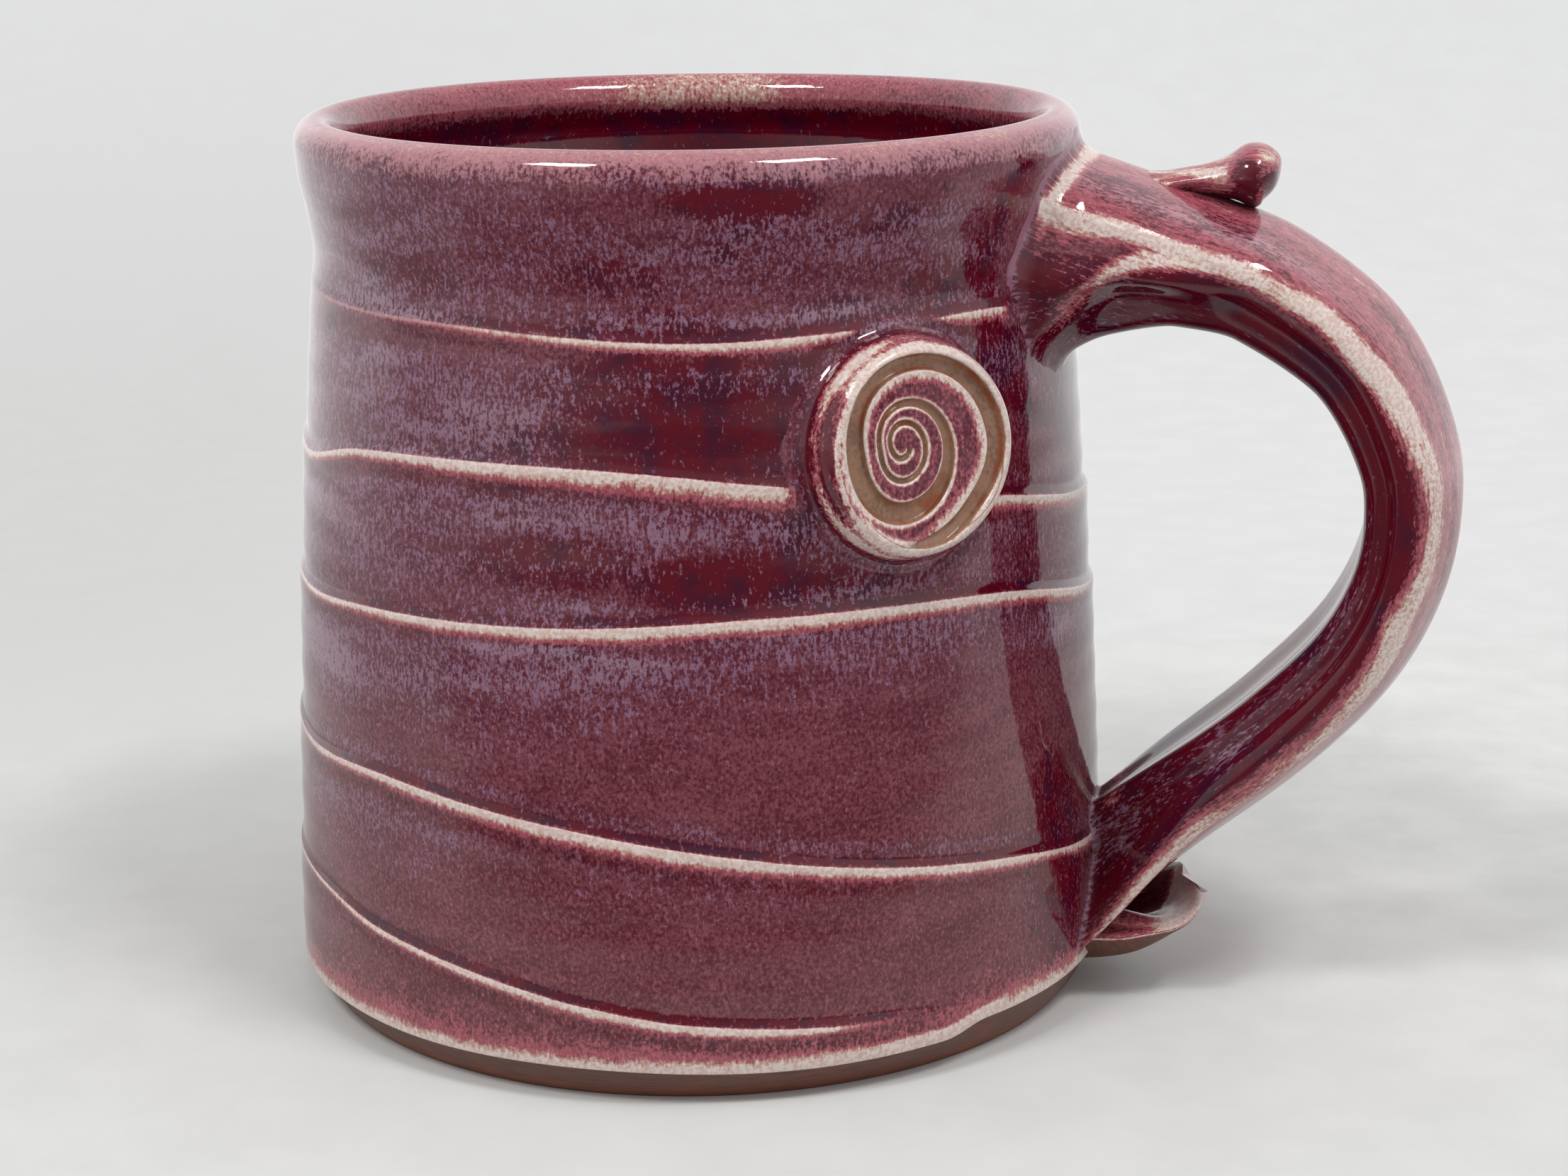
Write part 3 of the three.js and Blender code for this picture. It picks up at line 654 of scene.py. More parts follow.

# The strap's paint, by the share of its length. Places across the strap are counted in points of SECTION: the middle
# of the pale break round its edge, half that break's width and how pale it is, the middle of a pale line on the web's
# lower edge, partly a second break and partly a painted highlight, and of a painted highlight along the ridge.
BAND = [
    (0, 5), (0.1, 4.7), (0.15, 4.6), (0.2, 4.75), (0.29, 4.65), (0.34, 4.4), (0.38, 3.95), (0.46, 3.5), (0.5, 3.35),
    (0.57, 3.75), (0.65, 3.7), (0.75, 3.7), (0.85, 4.1), (0.9, 4.4), (1, 4.6),
]  # fmt: skip
BAND_HALF = [(0, 0.9), (0.15, 1), (0.29, 1.1), (0.4, 1.7), (0.5, 1.9), (0.6, 1.9), (0.75, 1.6), (0.85, 1.2), (1, 0.9)]
BAND_BRIGHT = [
    (0, 0.9), (0.3, 0.95), (0.45, 0.85), (0.6, 0.82), (0.7, 0.74), (0.8, 0.68), (0.9, 0.78), (1, 0.65),
]  # fmt: skip
WEB_EDGE = [(0, 8.3), (0.05, 8.0), (0.075, 7), (0.1, 5.9), (0.13, 5.3), (0.16, 4.8)]
RIDGE_HIGHLIGHT = [(0.2, 0), (0.28, 0.3), (0.33, 1.3), (0.4, 1.9), (0.5, 2)]


def crest_points(wall, handle):
    """The points that the strap's crest runs through, in the XZ plane."""
    share = np.array(CREST)
    foot = handle.foot_height
    z = foot + share[:, 1] * (wall.height - handle.top_depth - foot)
    return np.stack([wall_radius(wall, z) + share[:, 0] * handle.reach, np.zeros_like(z), z], 1)


def sweep(path, outline):
    """Carries a section along a path in the XZ plane. outline is (rows, columns, 2): how far sideways, along +Y,
    and how far out, square to the path on its outer side. A point is the path's plus both. Also gives the section's
    own two lengths and the length run along the path, as the places that the glaze reads."""
    tangent = np.gradient(path, axis=0)
    tangent /= np.linalg.norm(tangent, axis=1, keepdims=True)
    out = np.stack([-tangent[:, 2], np.zeros(len(path)), tangent[:, 0]], 1)
    grid = path[:, None] + out[:, None] * outline[..., 1:]
    grid[..., 1] += outline[..., 0]
    steps = np.linalg.norm(np.diff(path, axis=0), axis=1)
    run = np.concatenate([[0], np.cumsum(steps)])[:, None] * np.ones(grid.shape[1])
    return grid, np.concatenate([outline * np.ones_like(grid[..., :1]), run[..., None]], -1)


def wall_distance(wall, grid):
    """How far each point lies outside the wall, level with it."""
    bearing = np.degrees(np.arctan2(grid[..., 1], grid[..., 0]))
    _, heights, strengths = passes(wall, bearing)
    z = grid[..., 2]
    return np.hypot(grid[..., 0], grid[..., 1]) - wall_radius(wall, z) - relief(wall, z, heights, strengths)


def filleted(wall, grid, radius):
    """Spreads a surface where it nears the wall so that it meets it in a quarter-round hollow: a point at a distance
    d moves along the wall by radius - sqrt(radius^2 - (radius - d)^2)."""
    distance = wall_distance(wall, grid)
    near = np.clip(radius - np.maximum(distance, 0), 0, radius)
    spread = radius - np.sqrt(radius**2 - near**2)
    normal = normals_of(grid)
    level = np.hypot(grid[..., 0], grid[..., 1])[..., None]
    away = np.concatenate([grid[..., :2] / level, np.zeros_like(level)], -1)
    flat = normal - (normal * away).sum(-1, keepdims=True) * away
    flat /= np.maximum(np.linalg.norm(flat, axis=-1, keepdims=True), 0.3)
    return grid + flat * spread[..., None], distance


def strap_masks(t, h, distance):
    """Masks of the glaze on the strap, from the share t of its length, the place h across it, counted in points of
    SECTION from the crest, and the distance from the wall."""
    # A pale break runs round the edge. A pale line on the web's lower edge at the upper root is partly a second break
    # and partly a painted highlight.
    band, web_edge = through(BAND, t), through(WEB_EDGE, t)
    waver = 0.12 * np.sin(31 * t) + 0.08 * np.sin(73 * t + 1)
    edge = np.minimum(1, 1.35 * tent(h - band + waver, through(BAND_HALF, t)))
    edge = edge * through(BAND_BRIGHT, t) * (0.92 + 0.08 * np.sin(23 * t))
    lower = 0.85 * np.minimum(1, 1.4 * tent(h - web_edge, 0.95)) * smooth(0.2, 0.15, t) * smooth(0.02, 0.1, t)
    # A faint pale line along the ridge is a painted highlight.
    ridge = 0.55 * tent(h - through(RIDGE_HIGHLIGHT, t), 0.4) * smooth(0.16, 0.3, t) * smooth(0.62, 0.5, t)
    near_wall = smooth(0.2, 0.1, t) * smooth(0.5, 1.0, distance)
    rim = 0.85 * near_wall * smooth(4.6 - 0.4 * h, 1.4, distance) * smooth(6, 5.2, h)
    speckled = 0.34 * near_wall * smooth(5.5, 6, h) * smooth(9, 8, h)
    tip = 0.85 * tent(distance - 3, 3) * smooth(7.5, 9.5, h) * smooth(0.8, 0.9, t)
    strip = 0.36 * tent(h - 2.2, 2.2) * smooth(0.75, 0.9, t)
    top = smooth(band, band - 1.2, h)
    fillet = smooth(0.6, 0.35, distance)
    hollow = np.maximum(0.75 * tent(h - 8.3, 1.7) * smooth(0.35, 0.6, t), 0.7 * tent(h - 9, 2) * smooth(0.25, 0.1, t))
    shoulder = 0.7 * tent(h - 2.7, 1.5) * smooth(0.36, 0.2, t) + 0.5 * tent(h - 1.2, 0.9) * smooth(0.24, 0.4, t)
    rosy = (0.4 + 0.05 * np.sin(5 * h + 9 * t)) * top * (1 - 0.55 * shoulder)
    inner_side = 0.2 * tent(h - band - 1.2, 1.2) * smooth(0.3, 0.4, t)
    thin = most(edge, lower, ridge, rim, speckled, tip, strip, rosy, inner_side) * (1 - fillet)

    # Lavender pools in the hollow of the side, on both sides of the ridge and low down.
    mauve = 0.5 * tent(h - 2, 2) * smooth(0.75, 0.9, t)
    low_side = 0.75 * tent(h - 7.2, 1.7) * smooth(0.55, 0.72, t)
    pool = most(fillet, hollow, shoulder, mauve, low_side)
    side = smooth(band + 0.6, band + 1.6, h) * (1 - 0.9 * lower)
    deep = most(0.98 * side, 0.8 * tent(distance - 0.9, 0.5)) * (1 - fillet) * (1 - edge)
    return {"thin": thin, "pool": pool, "deep": deep}


def strap_surface(wall, handle):
    """The strap: its section, a closed curve through the outline's points, is carried along the crest. Width, depth
    and crown are functions of the share of the length."""
    rows, columns = 260, 150
    run = np.linspace(0, 1, rows)
    run = run - 0.75 * np.sin(2 * np.pi * run) / (2 * np.pi)
    path = spread_along(centripetal(crest_points(wall, handle), 2001)[0], run)
    t = run[:, None]
    half = np.array(SECTION, float)
    mirrored = half[1:-1][::-1] * [-1, 1, 1]
    typical = np.array([handle.width_middle / 2, -handle.crest, -handle.depth_middle])
    ring = np.concatenate([half, mirrored])
    flat = np.stack([ring[:, 0] * typical[0], ring[:, 1] * typical[1] + ring[:, 2] * typical[2]], 1)
    _, place_on = centripetal(flat, columns, closed=True)
    section = round_ring(ring, place_on)
    web = np.array(WEB, float)
    web = np.concatenate([web, web[1:-1][::-1] * [-1, -1, 1, 1]])
    web = round_ring(np.concatenate([web, flat], 1), place_on)[:, :4]
    h = np.minimum(place_on, len(ring) - place_on)[None]
    across, crown, depth = section.T[:, None]

    flare = (1 - np.clip((t - 0.045) / (0.21 - 0.045), 0, 1)) ** 2.4
    widths = [(0, handle.width_shoulder), (0.2, handle.width_shoulder), (0.48, handle.width_middle)]
    widths += [(0.8, handle.width_low), (1, handle.width_foot)]
    depths = [(0, handle.depth_shoulder), (0.2, handle.depth_shoulder), (0.48, handle.depth_middle)]
    depths += [(0.73, handle.depth_low), (1, handle.depth_low)]
    width = through(widths, t) + (handle.width_top - handle.width_shoulder) * flare
    thick = through(depths, t) + (handle.depth_top - handle.depth_shoulder) * flare
    keep = through([(0, 0.72), (0.06, 0.72), (0.2, 1), (0.78, 1), (0.92, 0.5), (1, 0.5)], t)
    crest = handle.crest * through([(0, 1), (0.82, 1), (0.94, 0), (1, -0.25)], t)
    keep = 1 - (1 - keep) * np.minimum(1, depth * 2)
    at_wall, past = smooth(0.1, 0.045, t), smooth(0.045, 0.1, t) * smooth(0.2, 0.1, t)
    outward, drop = web[:, 0] * at_wall + web[:, 1] * past, web[:, 2] * at_wall + web[:, 3] * past
    outline = np.stack([-across * width / 2 * keep - outward, -crown * crest - depth * thick - drop], -1)
    fillet = handle.fillet * through([(0, 1), (0.5, 1), (0.8, 0.4), (1, 0.4)], t)
    grid, flow = sweep(path, outline)
    grid, distance = filleted(wall, grid, fillet)
    return grid, strap_masks(t, h, distance), flow


def thumb_curl_surface(wall, handle):
    """The thumb curl: a tongue that leaves the crest, dips, and swells into the round end of its roll. Points of its
    path are run along the crest and height above it, and its section is an ellipse."""
    rows, columns = 150, 72
    crest, _ = centripetal(crest_points(wall, handle), 2001)
    here = 210
    start = crest[here]
    along = crest[here + 1] - crest[here - 1]
    along /= np.linalg.norm(along)
    above = np.array([-along[2], 0, along[0]])
    run, r, half = handle.scroll_run, handle.scroll_radius, handle.tongue_thickness / 2
    shape = [(-0.6, -1.4 * half), (-0.12, -0.5 * half), (0.25, 0.5 * half), (0.62, 0.56 * r), (1, 0.95 * r)]
    shape += [(1.22, 1.06 * r), (1.38, 1.06 * r)]
    path, _ = centripetal([start + x * run * along + y * above for x, y in shape], rows)
    share = np.linspace(0, 1, rows)
    # Rows crowd towards the tip, where the ball closes.
    crowd = 1 - (1 - share) ** 1.6
    reach = np.linalg.norm(np.diff(path, axis=0), axis=1).sum()
    path = spread_along(path, crowd)
    closing = 0.8 * r
    off = ((crowd - 1) * reach / closing + 1)[:, None]
    close = np.sqrt(np.maximum(0.0008, 1 - np.clip(off, 0, 1) ** 2))
    swell = through([(-3.6, 0), (-2.2, 0.12), (-1, 0.5), (-0.3, 0.93), (0, 1)], off)
    thick = (half + (1.08 * r - half) * swell) * close
    wide = (handle.tongue_width + (handle.scroll_width - handle.tongue_width) * swell) / 2 * close
    across, upward = np.cos(angles_round(columns)), np.sin(angles_round(columns))
    grid, flow = sweep(path, np.stack([wide * across, thick * upward], -1))
    on_ball = smooth(-1.2, -0.4, off)
    # The tongue is paler high on its upper side: partly thin glaze, partly a painted sheen.
    tongue_thin_and_sheen = 0.45 + 0.25 * tent(upward - 0.6, 0.6) + 0.15 * np.sin(9 * across + 2 * off)
    ball_thin = 0.2 + 0.42 * tent(np.hypot(across + 0.75, off - 0.4), 0.5) + 0.25 * smooth(0.3, 0.95, upward)
    thin = tongue_thin_and_sheen * (1 - on_ball) + ball_thin * on_ball
    deep = np.maximum(0.9 * smooth(-0.1, -0.6, upward), 0.85 * on_ball * smooth(0.8, 0.3, upward))
    return grid, {"thin": np.clip(thin, 0, 1), "pool": 0.15, "deep": deep * (1 - 0.5 * thin)}, flow


# The tail's path: shares of its reach out from the wall, and of its rise.
TAIL_PATH = [(-0.25, 0.15), (0.1, 0.2), (0.38, 0.3), (0.65, 0.52), (0.84, 0.77), (0.94, 1)]


def tail_masks(across, upward, share):
    """Masks of the glaze on the tail, from the shares across it and upward in its section and the share of its
    length."""
    # Pale glaze covers the end, with rose streaks along the fold. By the strap on the far side it is darkened as
    # painted shade where the strap shades it, and the bare underside is darkened as painted shade.
    upper = smooth(-0.02, 0.14, upward)
    under = smooth(-0.12, -0.3, upward) * smooth(1, 0.95, share)
    line = tent(upward + 0.08, 0.16) * (np.abs(across) > 0.5)
    # Painted shade where the strap shades the tail's far side.
    strap_shade = upper * smooth(0.74, 0.56, share - 0.25 * across) * smooth(-0.36, -0.1, across)
    streaks = 0.5 + 0.5 * np.sin(22 * across + 4 * share)
    near = upper * smooth(-0.15, -0.35, across) * smooth(0.85, 0.6, share)
    floor = upper * (0.95 - (0.4 + 0.3 * streaks) * near)
    thin = most(floor, 0.95 * line) * (1 - under) * (1 - strap_shade)
    # deep on the bare underside darkens its clay: painted shade.
    deep = np.maximum(0.75 * strap_shade, 0.8 * under)
    return {"thin": thin, "deep": deep, "bare": under, "pool": 0.2 * upper}


def tail_curl_surface(wall, handle):
    """The tail: a wide scooped tongue that runs out under the strap's foot and tips up. Points of its path are run
    out from the wall and height above its underside, as shares of its reach and rise. Its sides are lifted by keel
    times the square of the share across, and its tip leans by the share across."""
    rows, columns = 150, 120
    base = wall_radius(wall, handle.foot_height)
    points = [(base + x * handle.tail_reach, 0, handle.tail_underside + y * handle.tail_rise) for x, y in TAIL_PATH]
    path, _ = centripetal(points, rows)
    share = np.linspace(0, 1, rows)
    crowd = 1 - (1 - share) ** 1.7
    path = spread_along(path, crowd)
    share = crowd[:, None]
    taper = through([(0, 1.5), (0.35, 1.25), (0.6, 1.05), (0.9, 0.75), (1, 0.6)], share)
    thickness = handle.tail_thickness / 2 * taper
    close = np.sqrt(np.maximum(0.002, 1 - np.clip((share - 0.8) / 0.2, 0, 1) ** 2))
    width = handle.tail_width * through([(0, 0.5), (0.5, 0.49), (0.8, 0.46), (1, 0.42)], share)
    width = width * (0.02 + 0.98 * (1 - np.clip((share - 0.78) / 0.22, 0, 1) ** 4) ** 0.5)
    across, upward = np.cos(angles_round(columns)), np.sin(angles_round(columns))
    curl = 1 + 0.35 * smooth(0, -0.8, across) * smooth(0.95, 0.6, share)
    lift = handle.tail_keel * curl * (1 - share**3) * across**2 + handle.tail_lean * share * across
    scoop = 0.5 * np.maximum(upward, 0) * (1 - across**2) * smooth(0.3, 0.7, share)
    # A fold runs out of the strap's foot along the near side.
    fold = np.exp(-(((across + 0.5) / 0.3) ** 2)) * smooth(0.85, 0.45, share) * smooth(0, 0.25, share)
    lift = lift + 3.4 * fold * np.maximum(upward, 0) ** 0.5
    outline = np.stack([width * across, thickness * close * upward + lift - scoop], -1)
    grid, flow = sweep(path, outline)
    return grid, tail_masks(across, upward, share), flow


# The medallion

# The spiral groove, by turns clockwise from the viewer's right: its radius about its own middle, in millimetres.
SPIRAL = [
    (-0.1, 0.3), (0, 0.9), (0.25, 1.1), (0.5, 1.3), (0.75, 2.6), (1, 2.95), (1.25, 3.5), (1.5, 2.7),
    (1.75, 4.6), (2, 5.9), (2.25, 7.0), (2.5, 5.7), (2.75, 8.6), (3, 12), (3.12, 11.2), (3.5, 10.6),
]  # fmt: skip

# Turns, and half the groove's width.
GROOVE_HALF = [
    (0, 0.32), (1.3, 0.32), (1.75, 0.4), (2, 0.7), (2.25, 1.2), (2.5, 1.15), (2.8, 0.9), (3, 1.1), (3.3, 0.6),
]  # fmt: skip

# Turns, and how far the pale break runs from the groove on its outer and on its inner side.
BREAK_OUT = [(0, 0.5), (1.6, 0.5), (2, 0.5), (2.3, 0.9), (2.42, 2.2), (2.6, 2.2), (2.8, 2), (3.5, 2)]
BREAK_IN = [(0, 0.5), (1.9, 0.5), (2.5, 0.6), (2.75, 1.7), (3.1, 1.9), (3.5, 1.5)]


def left_of(angle):
    """How far an angle round the medallion, clockwise from its top, faces left."""
    return smooth(0.7, 0.95, -np.sin(angle + 0.05))


def medallion_face(medallion, rim, angle, rings):
    """The face, in rings from the middle out to the rim: places to the right and above, height and masks. The groove
    is cut where the distance from the spiral's middle is within half its width of one of the spiral's turns."""
    radius = rim * np.linspace(0.004, 1, rings)[:, None]
    right, above = radius * np.sin(angle), radius * np.cos(angle)
    off_right, off_above = right + medallion.spiral_aside, above - medallion.spiral_above
    reach = np.hypot(off_right, off_above)
    clockwise = np.mod(np.arctan2(-off_above, off_right) / (2 * np.pi), 1)
    turns = np.stack([clockwise + extra for extra in range(4)])
    ends = smooth(3.3, 3.14, turns) * smooth(-0.02, 0.05, turns)
    off = reach - through(SPIRAL, turns)
    edge = np.abs(off) - through(GROOVE_HALF, turns)
    cut = (smooth(0.16, -0.3, edge) * ends).max(0)
    wide = np.where(off > 0, through(BREAK_OUT, turns), through(BREAK_IN, turns))
    pale = (np.clip(1.05 - np.maximum(edge - 0.05, 0) / wide, 0, 1) * smooth(-0.25, -0.02, edge) * ends).max(0)
    leftward = left_of(angle)
    big = smooth(1.6, 2.2, np.where(edge < 0.4, turns, 0)).max(0)
    groove = medallion.groove_depth * (0.6 + 0.4 * big)
    dish = 0.3 * smooth(rim, rim - 1.2, radius)
    face = medallion.height - dish - groove * cut
    outer_rim = smooth(rim - 1.3, rim - 0.3, radius)
    stain = (smooth(-0.8, -0.2, edge) * ends * smooth(1.9, 2.3, turns)).max(0)
    # Brown trails run round the rim.
    trail = smooth(0.45, 0.95, np.sin(9 * radius + 1.6 * np.sin(2 * angle) + np.sin(5 * angle))) * (1 - leftward)
    masks = {
        "thin": most(pale, 0.9 * outer_rim * (1 - 0.6 * leftward), 0.22) * (1 - cut),
        "pool": 0.12 * (1 - cut) * (1 - pale),
        "deep": 0.6 * outer_rim * leftward * (1 - cut) * (1 - pale),
        "bare": np.maximum(np.where(cut > 0.5, 0.5 + 0.5 * stain, cut), 0.36 * trail * outer_rim),
    }
    return right, above, face, masks


def medallion_surface(wall, medallion):
    """The medallion on its back: a disc in polar rings with a rounded rim, whose face is cut by a spiral groove, and
    whose side spreads into the wall. right and above are measured along the wall and up it, seen from outside."""
    columns, face_rings, side_rings = 300, 128, 46
    angle = angles_round(columns)
    height, rim, outer = medallion.height, medallion.rim_radius, medallion.radius
    z_middle = wall.height - medallion.depth
    wobble = 1 + 0.012 * np.cos(2 * angle + 0.7) + 0.01 * np.cos(3 * angle + 2)
    bulge = np.maximum(0, -np.sin(angle + 0.25)) ** 2
    rim, outer = rim * wobble + 0.8 * bulge, outer * wobble + 0.5 * bulge
    lean = (wall_radius(wall, z_middle + 1) - wall_radius(wall, z_middle - 1)) / 2
    base_radius = wall_radius(wall, z_middle)

    def ground(right):
        """Height of the wall over the plane that touches it at the medallion's middle."""
        return np.sqrt(np.maximum(base_radius**2 - right**2, 0)) - base_radius

    rows = [medallion_face(medallion, rim, angle, face_rings)]

    # Rim and side: the height falls by the share run to the power 1.35, and the radius follows a quarter of an
    # ellipse, then the fillet.
    fall = np.linspace(0, 1, side_rings)[1:, None]
    floor = ground(outer * np.sin(angle)) - 0.15
    side_height = height + (floor - height) * fall**1.35
    ellipse = rim + (outer - rim) * np.sqrt(1 - np.clip(side_height / height, 0, 1) ** 2)
    over = np.clip(side_height - floor, 0, None)
    near = np.clip(medallion.fillet - over, 0, medallion.fillet)
    radius = ellipse + medallion.fillet - np.sqrt(medallion.fillet**2 - near**2)
    right, above = radius * np.sin(angle), radius * np.cos(angle)
    drop = ground(right) - ground(outer * np.sin(angle))
    side_height = side_height + drop * smooth(medallion.fillet, 0, over)
    crown = smooth(0.42, 0.12, fall)
    leftward = left_of(angle)
    flank = leftward * np.ones_like(fall)
    left_side = smooth(0.1, 0.6, -np.sin(angle))
    low_side = tent(fall - 0.55, 0.3) * (0.2 + 0.35 * left_side * (1 - leftward) + 0.3 * left_side)
    pale_side = (crown + (0.3 + low_side) * (1 - crown)) * smooth(0.95, 0.75, fall)
    pale_side = pale_side * (1 - 0.5 * flank * (1 - tent(fall - 0.62, 0.25)))
    side_masks = {
        "thin": np.maximum(pale_side, smooth(0.2, 0.09, fall)),
        "pool": 0.9 * tent(fall - 0.93, 0.12) * np.ones_like(angle),
        "deep": most(0.9 * flank * smooth(1.0, 0.85, fall), 0.8 * tent(fall - 0.8, 0.14)),
    }
    rows.append((right, above, side_height, side_masks))

    # The back lies inside the wall.
    shrink = np.array([0.9, 0.5])[:, None] * np.ones_like(angle)
    rows.append((right[-1:] * shrink, above[-1:] * shrink, np.full_like(shrink, -3.6), {}))

    right, above, height_at = (np.concatenate([row[k] for row in rows]) for k in range(3))
    masks = {
        mask: np.concatenate([np.broadcast_to(row[3].get(mask, 0.0), row[0].shape) for row in rows]) for mask in MASKS
    }
    # Stand it on the wall: the plane leans with the wall.
    tilt, bearing = math.atan(-lean), medallion.bearing
    outward = np.array([math.cos(tilt) * math.cos(bearing), math.cos(tilt) * math.sin(bearing), math.sin(tilt)])
    upward = np.array([-math.sin(tilt) * math.cos(bearing), -math.sin(tilt) * math.sin(bearing), math.cos(tilt)])
    rightward = np.array([-math.sin(bearing), math.cos(bearing), 0])
    origin = np.array([base_radius * math.cos(bearing), base_radius * math.sin(bearing), z_middle])
    grid = origin + right[..., None] * rightward + above[..., None] * upward + height_at[..., None] * outward
    return grid, masks


# Materials


class Wire:
    """A socket of a node tree as a value in an expression. Each operator adds the Math node that works it out."""

    def __init__(self, tree, socket):
        self.tree = tree
        self.socket = socket

    def math(self, operation, *others):
        node = self.tree.nodes.new("ShaderNodeMath")
        node.operation = operation
        for slot, value in zip(node.inputs, (self, *others)):
            join(self.tree, slot, value)
        return Wire(self.tree, node.outputs[0])

    def __add__(self, other):
        return self.math("ADD", other)

    def __mul__(self, other):
        return self.math("MULTIPLY", other)

    def __sub__(self, other):
        return self.math("SUBTRACT", other)

    def __rsub__(self, other):
        node = self.tree.nodes.new("ShaderNodeMath")
        node.operation = "SUBTRACT"
        join(self.tree, node.inputs[0], other)
        join(self.tree, node.inputs[1], self)
        return Wire(self.tree, node.outputs[0])

    __radd__ = __add__
    __rmul__ = __mul__

    def ease(self, start, end, low=0.0, high=1.0):
        """Eases from low to high as this goes from start to end."""
        falling = start > end
        node = self.tree.nodes.new("ShaderNodeMapRange")
        node.interpolation_type = "SMOOTHSTEP"
        values = (end, start, high, low) if falling else (start, end, low, high)
        for slot, value in zip(node.inputs, (self, *values)):
            join(self.tree, slot, value)
        return Wire(self.tree, node.outputs[0])

    def larger(self, other):
        return self.math("MAXIMUM", other)

    def kept(self):
        """Held between 0 and 1."""
        return self.math("MAXIMUM", 0.0).math("MINIMUM", 1.0)


def join(tree, slot, value):
    """Links a Wire to a socket, or sets the socket to a constant."""
    if isinstance(value, Wire):
        tree.links.new(value.socket, slot)
    elif isinstance(value, (int, float)):
        slot.default_value = value
    else:
        slot.default_value = (*value, 1.0)[: len(slot.default_value)]


class Recipe:
    """The node tree of a material or a world while it is written."""

    def __init__(self, owner):
        self.owner = owner
        owner.use_nodes = True
        self.tree = owner.node_tree
        self.tree.nodes.clear()

    def node(self, kind, settings=None, output=0, **sockets):
        """Adds a node of a kind, sets its settings, then links or sets its sockets by name or by index."""
        node = self.tree.nodes.new(kind)
        for key, value in (settings or {}).items():
            setattr(node, key, value)
        for key, value in sockets.items():
            slot = node.inputs[int(key[1:])] if key[1:].isdigit() else node.inputs[key.replace("_", " ")]
            join(self.tree, slot, value)
        return Wire(self.tree, node.outputs[output])

    def finished(self, shader, kind="ShaderNodeOutputMaterial"):
        """The owner, with its surface given by a shader."""
        join(self.tree, self.tree.nodes.new(kind).inputs["Surface"], shader)
        return self.owner

    def mask(self, name):
        return self.node("ShaderNodeAttribute", {"attribute_name": name}, output="Fac")

    def blend(self, factor, first, second):
        """A mix of two colours."""
        return self.node("ShaderNodeMix", {"data_type": "RGBA"}, output=2, i0=factor, i6=first, i7=second)

    def noise(self, place, size, detail=2.0, roughness=0.5, stretch=1.0, offset=0.0):
        """Noise whose lumps are a size in millimetres, stretched upward by a factor."""
        scale = 1 / metres(size)
        scales = (scale, scale, scale / stretch)
        spread = self.node("ShaderNodeMapping", Vector=place, Location=(offset, offset, offset), Scale=scales)
        return self.node("ShaderNodeTexNoise", Vector=spread, Scale=1.0, Detail=detail, Roughness=roughness)

    def along(self, place, axis):
        """How far a place or direction goes along an axis."""
        return self.node("ShaderNodeVectorMath", {"operation": "DOT_PRODUCT"}, output=1, i0=place, i1=axis)


# The glaze's light lavender, its slip and its lavender rose are mixed from the other colours by these shares.
LIGHTER, SLIP_ROSE, SLIP_PLUM, ROSE_LAVENDER, ROSE_WHITE = 0.16, 0.3, 0.25, 0.45, 0.28


